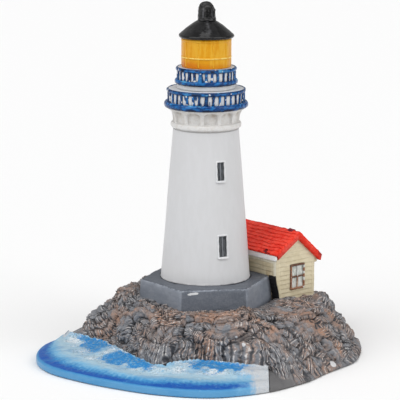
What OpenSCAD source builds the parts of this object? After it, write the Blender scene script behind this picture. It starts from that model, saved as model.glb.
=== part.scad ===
// Lighthouse figurine: a small painted resin ornament, cast as separate pieces that are
// glued together. Millimetres, +Z up. The front is -Y. The origin lies on the resting
// plane, under the tower's axis. An azimuth is in degrees from the front towards +X.

/* [Felt and glue joints] */
// Thickness of the felt under the base
felt_t = 0.6; // [0.5:0.1:1.5]
// Distance from the base's edge in to the felt's edge
felt_inset = 3; // [1:0.5:6]
// Clearance around a piece that is glued into a recess or beside another casting
glue_gap = 0.2; // [0.1:0.05:0.4]
// Height of the castings' edge above the resting plane: the felt lies in a recess inside it
edge_z = 0.25; // [0.1:0.05:0.4]

/* [Rock] */
// Height of the flat bed in the rock that the plinth and the house stand on
bed_z = 19; // [16:0.5:22]
// Height of the plain skirt beside the sea's right end
skirt_z = 4.4; // [3:0.2:6]
// Height of the skirt round the rest of the rock's foot
low_skirt_z = 2; // [1.6:0.1:3]
// Depth of the broken relief of the rock
crag_depth = 2.9; // [0:0.1:4]
// Width of one rock block, in degrees round the tower
block_turn = 12; // [8:1:20]
// Rows of rock blocks from the foot to the terrace
block_rows = 3; // [2:1:5]

/* [Sea] */
// Height of the sea's outer lip
sea_lip = 3.2; // [2:0.2:4.2]
// Height of the sea where it meets the rock
sea_top = 6.2; // [5:0.2:8]
// Height of the waves
wave_h = 0.35; // [0:0.05:0.8]
// Azimuth of the sea's left end
sea_left = -92; // [-110:1:-80]
// Azimuth of the sea's right end
sea_right = 21; // [12:1:32]

/* [Plinth] */
// Distance from the plinth's middle to a corner of its deck
plinth_r = 26; // [23:0.5:28]
// Height of the plinth
plinth_h = 11; // [8:0.5:14]
// How much further out a corner is at the plinth's foot
plinth_batter = 1; // [0:0.1:1.5]
// Azimuth of one corner of the plinth
plinth_turn = 38.2; // [35:0.1:42]
// How far the plinth's middle lies in front of the tower's axis
plinth_front = 1.7; // [0:0.1:2.5]

/* [Tower] */
// Radius of the tower at its foot
tower_foot_r = 17.4; // [15.5:0.1:19]
// Radius of the tower at its head
tower_head_r = 12.8; // [12:0.1:14]
// Height of the tower's shaft
tower_h = 59.3; // [45:0.1:80]
// Radius of the peg that locates each casting of the tower on the next
peg_r = 5; // [3:0.5:7]
// Length of a locating peg
peg_l = 5; // [3:0.5:7]

/* [Tower windows] */
// Azimuth of the tower's front windows
window_az = 24.3; // [0:0.1:60]
// Width of the lower window's pane
low_window_w = 3.5; // [2.5:0.1:5]
// Height of the lower window's pane
low_window_h = 8.4; // [6:0.1:10]
// Height of the lower window's middle above the deck
low_window_z = 15; // [9:0.1:22]
// Width of the upper window's pane
high_window_w = 3.1; // [2.5:0.1:5]
// Height of the upper window's pane
high_window_h = 7.4; // [6:0.1:10]
// Height of the upper window's middle above the deck
high_window_z = 44.2; // [32:0.1:49]
// Width of the raised surround
surround_w = 0.5; // [0.3:0.1:1]
// How far the surround stands out of the tower
surround_proud = 0.35; // [0.1:0.05:0.8]
// Depth of the pane's face behind the tower's face
pane_depth = 0.5; // [0.2:0.1:1]

/* [Corbel ring] */
// Height of the corbel ring
corbel_h = 8.5; // [6:0.1:10]
// Radius of the ledge under the brackets
ledge_r = 13.8; // [13.2:0.1:15]
// Radius of the corbel ring's top edge
corbel_top_r = 15.4; // [15:0.1:16.2]
// Number of brackets
brackets = 12; // [8:1:16]
// Azimuth of one bracket
bracket_turn = -7; // [-15:0.5:15]

/* [Lower gallery] */
// Radius of the lower gallery's drum
low_drum_r = 14.7; // [14:0.1:15]
// Height of the lower gallery's drum
low_drum_h = 7.4; // [6.5:0.1:11]
// Radius of the lower moulding
low_moulding_r = 16.4; // [16:0.1:17.5]
// Height of the lower moulding
low_moulding_h = 2.4; // [2:0.1:4]
// Number of balusters of the lower railing
low_balusters = 36; // [24:1:44]

/* [Upper gallery] */
// Radius of the neck under the upper moulding
neck_r = 11.4; // [11:0.1:11.8]
// Height of the neck
neck_h = 1.8; // [1:0.1:3]
// Radius of the upper gallery's drum
high_drum_r = 11.1; // [10.4:0.1:11.3]
// Height of the upper gallery's drum, its neck included
high_drum_h = 8.4; // [6.5:0.1:10]
// Radius of the upper moulding
high_moulding_r = 12.3; // [12.2:0.1:13]
// Height of the upper moulding
high_moulding_h = 1.8; // [1.5:0.1:3]
// Number of balusters of the upper railing
high_balusters = 30; // [20:1:36]

/* [Railings] */
// Width of a baluster
baluster_w = 0.95; // [0.6:0.05:1.3]
// How far a baluster stands out of its drum
baluster_proud = 0.5; // [0.3:0.05:0.8]
// Height of a top rail
rail_h = 1.5; // [1:0.1:2]
// How far a top rail stands out of its drum
rail_proud = 0.75; // [0.5:0.05:1]

/* [Lantern] */
// Radius of the lantern
lantern_r = 9.5; // [8.5:0.1:10]
// Height of the lantern
lantern_h = 11.8; // [9:0.1:14]
// Height of the lantern's glazing ring above its foot
glazing_ring_z = 3.6; // [2:0.1:7]
// Number of glazing bars
glazing_bars = 10; // [6:1:14]
// Azimuth of one glazing bar
glazing_turn = 17; // [0:1:35]
// How far the glazing bars stand out of the lantern
glazing_proud = 0.28; // [0.15:0.01:0.5]
// Width of a glazing bar
glazing_w = 0.6; // [0.4:0.05:1]

/* [Roof and finial] */
// Radius of the roof's rim
rim_r = 10.8; // [10.4:0.1:11.5]
// Half the thickness of the rounded rim
rim_round = 0.8; // [0.7:0.05:1.2]
// Height of the roof from its underside to the finial
roof_h = 6.1; // [5.5:0.1:9]
// Radius of the finial
finial_r = 3.15; // [2.4:0.05:3.6]
// Height of the finial
finial_h = 7.4; // [5.5:0.1:10]
// Radius of the hooped rib over the finial
hoop_r = 0.55; // [0.4:0.05:0.8]

/* [House] */
// Distance of the house's near corner to the right of the tower's axis
house_x = 28; // [28:0.1:30]
// Distance of that corner in front of the tower's axis
house_front = 2.5; // [1.5:0.1:3.5]
// Turn of the house's gable wall from +X towards +Y
house_turn = 41; // [39:0.5:43]
// Width of the gable wall
gable_w = 20.6; // [18:0.1:23]
// Length of the house
house_l = 38; // [30:0.5:39]
// Distance of the ridge from the near long wall
ridge_x = 11; // [10:0.1:12]
// Height of the walls under the ridge, above the bed
ridge_z = 25; // [22:0.1:30]
// Height of the near long wall above the bed
near_wall_z = 18.1; // [16.5:0.1:19]
// Height of the far long wall above the bed
far_wall_z = 16.5; // [15:0.1:18]
// Spacing of the siding boards
board_pitch = 1.8; // [1.2:0.1:3]
// How far the lower edge of a board stands out
board_proud = 0.3; // [0.1:0.05:0.5]
// Depth of the undercut below the deck, beside the plinth
undercut = 1.9; // [0.5:0.1:2.5]

/* [House roof] */
// Thickness of the house's roof
roof_t = 2.6; // [1.6:0.1:3.2]
// How far the roof stands out over the near wall and both gables
overhang = 1.2; // [0.8:0.1:1.6]
// How far the roof stands out over the far wall
far_overhang = 1.8; // [1:0.1:2.4]
// Number of courses on each side of the ridge
courses = 8; // [5:1:12]
// Height of a course's lower edge
course_step = 0.35; // [0.1:0.05:0.6]
// Height of the roof's near soffit above the wall's top
soffit_h = 1.6; // [0.5:0.1:1.8]
// Height of the board under the near eave
eave_board_h = 2.2; // [1.2:0.1:2.8]
// Distance of the ridge vent behind the gable wall
vent_y = 1.8; // [0.5:0.1:20]
// Length of the ridge vent
vent_l = 3; // [2.4:0.1:8]
// How far the ridge vent rises above the ridge
vent_proud = 0.6; // [0.3:0.1:2]

/* [House windows] */
// Width of a house window's frame
frame_w = 7.8; // [6:0.1:9]
// Height of a house window's frame
frame_h = 10.4; // [8:0.1:12]
// Height of the frame's sill above the bed
frame_z = 4.5; // [3:0.1:5.5]
// Distance of the gable window's middle from the near long wall
frame_x = 11.3; // [9:0.1:13]
// Width of the frame's timbers
timber_w = 0.85; // [0.5:0.05:1.2]
// How far the frame stands out of the siding
frame_proud = 0.35; // [0.1:0.05:0.8]

/* [Hidden] */
fine = 96;

// Outline of the base on the resting plane: azimuth and distance from the tower's axis
base_edge = [[-180, 57], [-155, 56.5], [-130, 56], [-112, 56.5], [-100, 57.4], [-92, 59.4],
             [-84, 64.4], [-70, 69.7], [-58, 70.6], [-45, 68.4], [-30, 67.4], [-14, 68.6], [2, 69.8],
             [12, 68.2], [21, 66.4], [30, 63.8], [40, 61.6], [50, 59.4], [60, 59.7], [70, 61.8],
             [84, 62], [96, 62.5], [115, 59.5], [140, 58], [180, 57]];
// Foot of the broken rock: the sea or a smooth skirt lies between it and the base's edge
crag_foot = [[-180, 56.2], [-155, 55.7], [-130, 54.9], [-112, 54.5], [-100, 54.4], [-90, 54], [-80, 46],
             [-68, 41.5], [-56, 41], [-43, 43], [-31, 46.5], [-20, 50], [-13, 43], [-3, 38.7],
             [8, 41.5], [15, 47], [22, 54.5], [28, 61], [34, 61.2], [42, 59.8], [52, 58.4], [62, 59.2],
             [75, 61], [96, 61.8], [115, 58.8], [140, 57.2], [180, 56.2]];
// Outer edge of the terrace, and its height
terrace_edge = [[-180, 42], [-155, 39], [-130, 35.5], [-104, 34.4], [-90, 34], [-60, 34],
                [-35, 33.5], [-15, 32], [0, 31.5], [20, 34.5], [40, 40], [60, 44], [75, 46],
                [90, 46.8], [104, 46.4], [118, 45.5], [135, 46], [155, 47], [180, 42]];
terrace_rise = [[-180, 2], [-130, 2.2], [-104, 2.4], [-80, 4.4], [-50, 4.8], [-30, 3.6], [0, 3],
                [18, 3.4], [32, 2.4], [60, 1.4], [80, 1], [100, 0.8], [150, 1.4], [180, 2]];
// How far the slope bulges: 1 is straight, more is steep at the foot and flat above
slope_bulge = [[-180, 1.2], [-130, 1.2], [-104, 1.15], [-85, 1.05], [-60, 1.1], [-35, 1.5],
               [0, 1.5], [18, 1.7], [30, 2.3], [45, 2.2], [60, 1.7], [76, 1.2], [96, 1.1], [120, 1.2],
               [180, 1.2]];
// A low shelf of rock left of the sea's end: its middle and half its width in degrees,
// its depth and its height
shelf = [-95, 14, 5.5, 3];
// Boulders on the terrace: x, y, radius and height
boulders = [[-30, -3, 5.5, 3], [-31, -14, 4.5, 1.6], [-24, -23, 4, 1.5], [17, -29, 5.5, 2.4],
            [47.3, 1, 4.5, 3.4], [30, -16, 5, 1.4], [32, -3.5, 6.5, 1.6], [-20, 30, 6, 1.2],
            [-31, 15, 4, 0.8], [38, 28, 4, 1.2], [2, 45, 5, 1.4]];

// The rock's blocks: how much they tilt, how round they are, the depth and width of the
// grooves between them, and the share of the smaller blocks that lie on the large ones
block_tilt = 0.9;
block_round = 0.7;
groove_depth = 0.45;
groove_w = 0.22;
small_share = 0.25;

rock_step = 2;
slope_rings = 20;
terrace_rings = 8;
// Share of the way from the terrace's edge to the axis that the rings of the terrace cover
terrace_reach = 0.38;
sea_rings = 9;
end_gap = 0.15;
// Degrees to each side of the sea's right end in which the columns of points lean
end_turn = 14;
lantern_rim = 0.9;
plinth_sides = 6;

deck_z = bed_z + plinth_h;
head_z = deck_z + tower_h;
low_gallery_z = head_z + corbel_h;
low_deck_z = low_gallery_z + low_drum_h;
high_deck_z = low_deck_z + high_drum_h;
eaves_z = high_deck_z + lantern_h;
finial_z = eaves_z + roof_h;
ridge_top = bed_z + ridge_z;

// A point of the ground plan from its azimuth and its distance from the tower's axis
function at(az, r) = [r * sin(az), -r * cos(az)];
function mix(a, b, t) = a + (b - a) * t;
function ease(t) = let (c = min(1, max(0, t))) c * c * (3 - 2 * c);
function total(v) = v * [for (x = v) 1];

// A smooth curve through a table of rows [x, y], with x wrapping round the full turn
function row(t, i) = let (n = len(t) - 1, k = floor(i / n)) [t[i - k * n][0] + 360 * k, t[i - k * n][1]];
function closed(t) = t[len(t) - 1][0] - t[0][0] == 360;
function pick(t, i) = closed(t) ? row(t, i) : t[min(len(t) - 1, max(0, i))];
function curve(t, x) = let (
    i = max([for (k = [0 : len(t) - 2]) if (t[k][0] <= x) k]),
    a = pick(t, i - 1), b = t[i], c = t[i + 1], d = pick(t, i + 2),
    u = (x - b[0]) / (c[0] - b[0]), w = c[0] - b[0],
    m = w * (c[1] - a[1]) / (c[0] - a[0]), n = w * (d[1] - b[1]) / (d[0] - b[0]))
    b[1] * (2 * u ^ 3 - 3 * u ^ 2 + 1) + m * (u ^ 3 - 2 * u ^ 2 + u)
    + c[1] * (3 * u ^ 2 - 2 * u ^ 3) + n * (u ^ 3 - u ^ 2);

// A number from 0 to 1 that looks random but always belongs to block (i, j)
function grit(i, j, k) = let (v = sin(i * 127.1 + j * 311.7 + k * 74.7) * 43758.5453) v - floor(v);

// Distance from p to the seed of block (i, j) of so many around, and the level of its tilted face at p
function block(p, around, i, j) = let (
    a = i - around * floor(i / around),
    seed = [i + 0.15 + 0.7 * grit(a, j, 1), j + 0.15 + 0.7 * grit(a, j, 2)],
    lean = [grit(a, j, 4) - 0.5, grit(a, j, 5) - 0.3],
    off = p - seed)
    [norm(off), grit(a, j, 3) - 0.5 - 0.9 * (off * lean)];

// Level of one layer of blocks, turn degrees wide: tilted, rounded faces with grooves between them
function blocks(az, t, turn, rows) = let (
    around = round(360 / turn),
    p = [az * around / 360 + 0.3 * sin(7 * az + 200 * t), t * rows + 0.3 * sin(11 * az)],
    near = [for (i = [-1 : 1], j = [-1 : 1]) block(p, around, floor(p[0]) + i, floor(p[1]) + j)],
    d1 = min([for (n = near) n[0]]),
    d2 = min([for (n = near) if (n[0] > d1) n[0]]),
    face = [for (n = near) if (n[0] == d1) n[1]][0],
    dome = sqrt(max(0, 1 - (d1 / 0.95) ^ 2)) - 0.6)
    block_tilt * face + block_round * dome - groove_depth * (1 - ease((d2 - d1) / groove_w));

// Level of the broken rock, about -1 to 1: large blocks with small ones on them
function crag(az, t) = blocks(az, t, block_turn, block_rows)
    + small_share * blocks(az, t, block_turn / 2, 2 * block_rows);

function in_sea(az) = az > sea_left && az < sea_right;
function shelf_share(az) = ease(1 - abs(az - shelf[0]) / shelf[1]);
function foot(az) = curve(crag_foot, az) - (in_sea(az) ? 0 : 0.4);
function skirt(az) = mix(skirt_z, low_skirt_z, az > 0 ? ease((az - sea_right) / 8) : 1);
function foot_z(az) = in_sea(az) ? sea_top - 0.7 : skirt(az) + 0.25 * sin(5 * az) + 0.25;
function rim(az) = in_sea(az) ? curve(crag_foot, az) : curve(base_edge, az);
function rim_z(az) = in_sea(az) ? sea_top - 1.5 : skirt(az) - 1.2;
function boulder_rise(p) = total([for (b = boulders)
    let (d = norm(p - [b[0], b[1]]) / b[2]) d < 1 ? b[3] * sqrt(1 - d * d) : 0]);

// Outline of the recess for the felt, or the rock's own underside behind the sea
function felt_room(az) = in_sea(az) ? curve(crag_foot, az) - 1
    : curve(base_edge, az) - felt_inset + glue_gap;

// A point of the rock or the sea in the ground plan. Near the sea's right end the points of a
// column keep the x that it has at the base's edge, so that the end runs straight back.
function lay(az, r) = let (
    near = ease(1 - abs(az - sea_right) / end_turn),
    s = curve(base_edge, az) * sin(az) / max(r, curve(crag_foot, az)))
    at(az + near * (asin(min(0.9, max(-0.9, s))) - az), r);

// A point of the rock's slope at share t of the way from its foot to the terrace
function slope_point(az, t) = let (
    low = foot_z(az) + shelf[3] * shelf_share(az),
    rise = bed_z + curve(terrace_rise, az) - low,
    relief = crag_depth * crag(az, t) * ease(t / 0.12 + 0.1),
    low_r = foot(az) - 0.5 - shelf[2] * shelf_share(az),
    reach = mix(low_r, curve(terrace_edge, az), t) + 0.75 * relief,
    r = in_sea(az) ? reach : min(reach, curve(base_edge, az) + 0.1),
    z = low + rise * (1 - (1 - t) ^ curve(slope_bulge, az)) + 0.6 * relief * ease(t / 0.2),
    p = lay(az, r))
    [p[0], p[1], max(foot_z(az) + 0.1, z) + boulder_rise(p) * t];

// A point of the terrace at share d of the way from its edge in to the tower's axis
function terrace_point(az, d) = let (
    relief = crag_depth * crag(az, 1 + 2 * d) * (1 - 1.8 * d),
    p = lay(az, curve(terrace_edge, az) * (1 - d) + 0.75 * relief * (1 - 2.2 * d)))
    [p[0], p[1], max(0.6, curve(terrace_rise, az) * (1 - 0.67 * d) + 0.6 * relief)
        + bed_z + boulder_rise(p)];

// Triangles that join each ring of n points to the next one
function skin(rings, n, loop = true) = [for (k = [0 : rings - 2], i = [0 : (loop ? n - 1 : n - 2)])
    let (a = k * n + i, b = k * n + (i + 1) % n) each [[a, b, b + n], [a, b + n, a + n]]];

module felt_pad() {
    color("darkolivegreen")
        linear_extrude(felt_t)
            polygon([for (az = [-180 : 5 : 175]) at(az, curve(base_edge, az) - felt_inset)]);
}

module rock_mass() {
    half = rock_step / 2;
    sorted = sort_up(concat(
        [for (az = [-180 : rock_step : 180 - half])
            if (abs(az - sea_left) > half && abs(az - sea_right) > half) az],
        [sea_left - end_gap, sea_left + end_gap, sea_right - end_gap, sea_right + end_gap]));
    n = len(sorted);
    rings = 5 + slope_rings + terrace_rings;
    points = concat(
        [for (az = sorted) [each lay(az, felt_room(az)), felt_t]],
        [for (az = sorted) [each lay(az, felt_room(az) + end_gap), in_sea(az) ? felt_t : edge_z]],
        [for (az = sorted) [each lay(az, rim(az)), in_sea(az) ? felt_t : edge_z]],
        [for (az = sorted) [each lay(az, rim(az)), rim_z(az)]],
        [for (az = sorted) [each lay(az, foot(az) - 0.2), foot_z(az)]],
        [for (k = [1 : slope_rings], az = sorted) slope_point(az, k / slope_rings)],
        [for (k = [1 : terrace_rings], az = sorted)
            terrace_point(az, terrace_reach * k / terrace_rings)],
        [[0, 0, bed_z + 2]]);
    last = (rings - 1) * n;
    polyhedron(points, concat(
        [[for (i = [0 : n - 1]) i]],
        [for (f = skin(rings, n)) [f[0], f[2], f[1]]],
        [for (i = [0 : n - 1]) [last + i, rings * n, last + (i + 1) % n]]), convexity = 10);
}

// The same list from small to large
function sort_up(v) = len(v) < 2 ? v : let (m = v[floor(len(v) / 2)])
    concat(sort_up([for (x = v) if (x < m) x]), [for (x = v) if (x == m) x],
           sort_up([for (x = v) if (x > m) x]));

module rock_base() {
    room = glue_gap + board_proud;
    color("dimgray")
        difference() {
            rock_mass();
            plinth_room(glue_gap, tower_h);
            house_frame() translate([-room, -room, bed_z])
                cube([gable_w + 2 * room, house_l + 2 * room, tower_h]);
        }
}

// Height of the sea at share s of the way from its lip to the rock
function sea_height(az, s) = mix(sea_lip, sea_top, s ^ 0.8)
    + wave_h * sin(620 * s + 2 * az + 40 * sin(3 * az)) * ease(4 * s);

// The sea's cross-section at one azimuth, as a closed loop from its outer foot over the top
function sea_section(az) = let (
    out = curve(base_edge, az),
    inn = curve(crag_foot, az) + glue_gap,
    lip = 0.9,
    wall = [[out - felt_inset + glue_gap, felt_t], [out - felt_inset + glue_gap, edge_z],
            [out - 0.3, edge_z], [out, edge_z + 0.6], [out, sea_lip - lip],
            [out - 0.35 * lip, sea_lip - 0.3 * lip]],
    top = [for (k = [0 : sea_rings]) let (s = k / sea_rings)
        [mix(out - lip, inn, s), sea_height(az, s)]])
    [for (p = concat(wall, top, [[inn, felt_t]])) [each lay(az, p[0]), p[1]]];

module sea_apron() {
    first = ceil((sea_left + 1) / rock_step) * rock_step;
    columns = concat([sea_left + end_gap],
                     [for (az = [first : rock_step : sea_right - 1]) az],
                     [sea_right - end_gap]);
    n = 8 + sea_rings;
    m = len(columns);
    color("steelblue")
        polyhedron([for (az = columns) each sea_section(az)],
                   concat([[for (i = [n - 1 : -1 : 0]) i]], skin(m, n),
                          [[for (i = [0 : n - 1]) (m - 1) * n + i]]), convexity = 6);
}

// The plinth's block, grown by gap on every side, and h high
module plinth_room(gap, h) {
    translate([0, -plinth_front, bed_z])
        rotate([0, 0, plinth_turn - 90])
            cylinder(r = plinth_r + plinth_batter + gap / cos(180 / plinth_sides), h = h,
                     $fn = plinth_sides);
}

module plinth() {
    chamfer = 0.5;
    color("slategray")
        difference() {
            translate([0, -plinth_front, bed_z]) rotate([0, 0, plinth_turn - 90]) {
                cylinder(r1 = plinth_r + plinth_batter, r2 = plinth_r, h = plinth_h - chamfer,
                         $fn = plinth_sides);
                translate([0, 0, plinth_h - chamfer])
                    cylinder(r1 = plinth_r, r2 = plinth_r - chamfer, h = chamfer,
                             $fn = plinth_sides);
            }
            translate([0, 0, deck_z - peg_l - glue_gap])
                cylinder(r = peg_r + glue_gap, h = peg_l + 1, $fn = fine);
        }
}

function tower_r(z) = mix(tower_foot_r, tower_head_r, (z - deck_z) / tower_h);
tower_lean = atan((tower_foot_r - tower_head_r) / tower_h);
tower_windows = [for (turn = [0, 180]) each [
    [window_az + turn, deck_z + low_window_z, low_window_w, low_window_h],
    [window_az + turn, deck_z + high_window_z, high_window_w, high_window_h]]];

// Places children on the tower's face: x to the right, -y outwards, z up the face
module on_tower(w) {
    rotate([0, 0, w[0]]) translate([0, -tower_r(w[1]), w[1]]) rotate([-tower_lean, 0, 0]) children();
}

module window_pocket(w, gap) {
    side = w[2] + 2 * surround_w + 2 * gap;
    tall = w[3] + 2 * surround_w + 2 * gap;
    translate([-side / 2, -3, -tall / 2]) cube([side, 3 + pane_depth + 1 + gap, tall]);
}

module tower() {
    color("white")
        difference() {
            union() {
                translate([0, 0, deck_z])
                    cylinder(r1 = tower_foot_r, r2 = tower_head_r, h = tower_h, $fn = fine);
                translate([0, 0, deck_z - peg_l]) cylinder(r = peg_r, h = peg_l + 1, $fn = fine);
                translate([0, 0, head_z - 1]) cylinder(r = peg_r, h = corbel_h + peg_l + 1, $fn = fine);
            }
            for (w = tower_windows) on_tower(w) window_pocket(w, glue_gap / 2);
        }
}

module tower_window_frames() {
    sill_h = 0.9;
    color("whitesmoke")
        for (w = tower_windows) on_tower(w) {
            side = w[2] + 2 * surround_w;
            tall = w[3] + 2 * surround_w;
            difference() {
                translate([-side / 2, -surround_proud, -tall / 2])
                    cube([side, surround_proud + pane_depth, tall]);
                translate([-w[2] / 2, -2, -w[3] / 2]) cube([w[2], 4, w[3]]);
            }
            translate([-side / 2, -surround_proud - 0.3, -tall / 2]) cube([side, 0.4, sill_h]);
        }
}

module tower_window_panes() {
    bar = 0.5;
    color("dimgray")
        for (w = tower_windows) on_tower(w) {
            side = w[2] + 2 * surround_w;
            tall = w[3] + 2 * surround_w;
            translate([-side / 2, pane_depth, -tall / 2]) cube([side, 1, tall]);
            translate([-bar / 2, pane_depth - 0.2, -w[3] / 2 + 0.1]) cube([bar, 0.3, w[3] - 0.2]);
        }
}

module corbel_ring() {
    shelf_z = 2.7;
    lip = 0.35;
    groove = 0.5;
    niche_h = corbel_h - shelf_z - lip - 0.5;
    pier_w = 1.5;
    niche_w = 2 * PI * ledge_r / brackets - pier_w;
    core_r = tower_head_r - 0.7;
    flare = corbel_top_r - core_r - 0.9;
    color("antiquewhite")
        difference() {
            translate([0, 0, head_z])
                rotate_extrude($fn = fine)
                    polygon(concat(
                        [[peg_r + glue_gap, 0], [tower_head_r - 0.4, 0], [tower_head_r - 0.4, groove],
                         [ledge_r - 0.25, groove + 0.3], [ledge_r, groove + 0.8],
                         [ledge_r, shelf_z - 0.6], [ledge_r - 0.3, shelf_z]],
                        [for (a = [0 : 15 : 90]) [core_r + 0.9 + flare * (1 - cos(a)),
                                                 shelf_z + (corbel_h - lip - shelf_z) * sin(a)]],
                        [[corbel_top_r, corbel_h], [peg_r + glue_gap, corbel_h]]));
            for (i = [0 : brackets - 1])
                rotate([0, 0, bracket_turn + (i + 0.5) * 360 / brackets])
                    translate([0, -core_r, head_z + shelf_z + 0.1 + niche_h / 2])
                        rotate([90, 0, 0]) niche(niche_w, niche_h, 1.2, 6);
        }
}

// A rounded rectangle w wide and h high, with corners of radius r, cut d deep
module niche(w, h, r, d) {
    linear_extrude(d) {
        for (x = [-1, 1], y = [-1, 1])
            translate([x * (w / 2 - r), y * (h / 2 - r)]) circle(r = r, $fn = 32);
        square([w - 2 * r, h], center = true);
        square([w, h - 2 * r], center = true);
    }
}

// A half-round moulding round a drum
module moulding(z, bore, r, h) {
    flat = 0.35 * (r - bore);
    translate([0, 0, z])
        rotate_extrude($fn = fine)
            polygon(concat([[bore, 0]],
                           [for (a = [-90 : 15 : 90])
                               [mix(bore + flat, r, cos(a)), h / 2 * (1 + sin(a))]],
                           [[bore, h]]));
}

module lower_moulding() {
    color("royalblue") moulding(low_gallery_z, low_drum_r + glue_gap / 2, low_moulding_r, low_moulding_h);
}

module lower_gallery() {
    color("white")
        difference() {
            translate([0, 0, low_gallery_z]) cylinder(r = low_drum_r, h = low_drum_h, $fn = fine);
            translate([0, 0, low_gallery_z - 1])
                cylinder(r = peg_r + glue_gap, h = peg_l + glue_gap + 1, $fn = fine);
        }
}

// A ring of balusters in relief round a drum, under a rounded top rail
module railing(z, h, r, count) {
    inside = r - 1;
    edge = r + rail_proud;
    difference() {
        translate([0, 0, z]) {
            for (i = [0 : count - 1])
                rotate([0, 0, i * 360 / count])
                    translate([-baluster_w / 2, -r - baluster_proud, 0])
                        cube([baluster_w, baluster_proud + 1, h - rail_h + 0.2]);
            translate([0, 0, h - rail_h])
                rotate_extrude($fn = fine)
                    polygon([[inside, 0], [edge - 0.2, 0], [edge, 0.25], [edge, rail_h - 0.4],
                             [edge - 0.3, rail_h], [inside, rail_h]]);
        }
        translate([0, 0, z - 1]) cylinder(r = r + glue_gap / 4, h = h + 2, $fn = fine);
    }
}

module lower_railing() {
    color("royalblue")
        railing(low_gallery_z + low_moulding_h, low_drum_h - low_moulding_h, low_drum_r, low_balusters);
}

module watch_room() {
    color("white")
        translate([0, 0, low_deck_z]) {
            cylinder(r = neck_r, h = neck_h, $fn = fine);
            cylinder(r = high_drum_r, h = high_drum_h, $fn = fine);
        }
}

module upper_moulding() {
    color("royalblue")
        moulding(low_deck_z + neck_h, high_drum_r + glue_gap / 2, high_moulding_r, high_moulding_h);
}

module upper_railing() {
    below = neck_h + high_moulding_h;
    color("royalblue") railing(low_deck_z + below, high_drum_h - below, high_drum_r, high_balusters);
}

module lantern() {
    color("orange")
        translate([0, 0, high_deck_z]) {
            cylinder(r = lantern_r, h = lantern_h, $fn = fine);
            translate([0, 0, lantern_h - 2 * lantern_rim])
                cylinder(r = lantern_r + glazing_proud, h = lantern_rim, $fn = fine);
        }
}

module lantern_glazing() {
    inside = lantern_r - 1;
    foot = 0.4;
    bar_h = lantern_h - 2 * lantern_rim - foot - 0.05;
    color("gold")
        difference() {
            translate([0, 0, high_deck_z + foot]) {
                for (i = [0 : glazing_bars - 1])
                    rotate([0, 0, glazing_turn + i * 360 / glazing_bars])
                        translate([-glazing_w / 2, -lantern_r - glazing_proud, 0])
                            cube([glazing_w, glazing_proud + 1, bar_h]);
                translate([0, 0, glazing_ring_z - foot])
                    rotate_extrude($fn = fine)
                        translate([inside, 0]) square([1.1 + glazing_proud, glazing_w]);
            }
            translate([0, 0, high_deck_z])
                cylinder(r = lantern_r + glue_gap / 4, h = lantern_h, $fn = fine);
        }
}

module lantern_roof() {
    seat = 0.6;
    swell = 0.3;
    color("black")
        difference() {
            translate([0, 0, eaves_z - seat])
                rotate_extrude($fn = fine)
                    polygon(concat(
                        [[0, 0], [rim_r - rim_round, 0]],
                        [for (a = [-75 : 15 : 60]) [rim_r - rim_round + rim_round * cos(a),
                                                   rim_round + rim_round * sin(a)]],
                        [for (t = [0.1 : 0.1 : 1]) [mix(rim_r - 0.5 * rim_round, finial_r + 0.5, t),
                            mix(rim_round * 1.87, roof_h + seat, t) + swell * sin(180 * t)]],
                        [[0, roof_h + seat]]));
            translate([0, 0, eaves_z - seat - 1])
                cylinder(r = lantern_r + glue_gap, h = seat + 1, $fn = fine);
            translate([0, 0, finial_z - 3]) cylinder(r = finial_r / 2 + glue_gap, h = 4, $fn = fine);
        }
}

module finial() {
    head_h = 1.35 * finial_r;
    body_h = finial_h - head_h;
    head_r = finial_r - 0.1;
    hatch_h = 0.54 * finial_h;
    hatch_turn = 12;
    hoop_z = 0.55 * finial_h;
    color("black")
        translate([0, 0, finial_z]) {
            difference() {
                rotate_extrude($fn = 48)
                    polygon(concat(
                        [[0, 0], [finial_r + 0.25, 0], [finial_r + 0.05, 0.8], [head_r, body_h]],
                        [for (a = [15 : 15 : 90]) [head_r * cos(a), body_h + head_h * sin(a)]]));
                rotate([0, 0, hatch_turn]) translate([0, -finial_r - 0.9, 0.65])
                    cylinder(r = 1.7, h = hatch_h, $fn = 32);
            }
            translate([0, 0, -3 + glue_gap]) cylinder(r = finial_r / 2, h = 4, $fn = 32);
            rotate([0, 0, hatch_turn]) translate([0, -0.62 * finial_r, hoop_z]) rotate([90, 0, 0])
                rotate_extrude(angle = 180, $fn = 32)
                    translate([0.72 * finial_r, 0]) circle(r = hoop_r, $fn = 16);
        }
}

// House coordinates: x across the gable from the near long wall, y back from the gable
module house_frame() {
    translate([house_x, -house_front, 0]) rotate([0, 0, house_turn]) children();
}

near_slope = (ridge_z - near_wall_z) / ridge_x;
far_slope = (ridge_z - far_wall_z) / (gable_w - ridge_x);
// Height of the walls' top under the roof at distance x from the near long wall
function under_roof(x) = ridge_top
    - (x < ridge_x ? near_slope * (ridge_x - x) : far_slope * (x - ridge_x));

// Points of a boarded wall's profile from z0 up to z1, standing out by board_proud
function boards(z0, z1) = [for (k = [0 : floor((z1 - z0) / board_pitch)])
    let (low = z0 + k * board_pitch, high = min(z1, low + board_pitch))
    each [[board_proud, low], [0, high]]];

// The walls' outline across the gable, and along the house
function gable_outline() = concat(
    [for (p = boards(bed_z, under_roof(0))) [-p[0], p[1]]],
    [[ridge_x, ridge_top]],
    [for (p = reverse(boards(bed_z, under_roof(gable_w)))) [gable_w + p[0], p[1]]]);
function long_outline() = concat(
    [for (p = boards(bed_z, ridge_top + 1)) [-p[0], p[1]]],
    [for (p = reverse(boards(bed_z, ridge_top + 1))) [house_l + p[0], p[1]]]);
function reverse(v) = [for (i = [len(v) - 1 : -1 : 0]) v[i]];

module along_house(from, length) {
    translate([0, from + length, 0]) rotate([90, 0, 0]) linear_extrude(length) children();
}

house_windows = [[0, frame_x, 0], [180, gable_w - frame_x, house_l], [90, house_l / 2, gable_w]];

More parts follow.
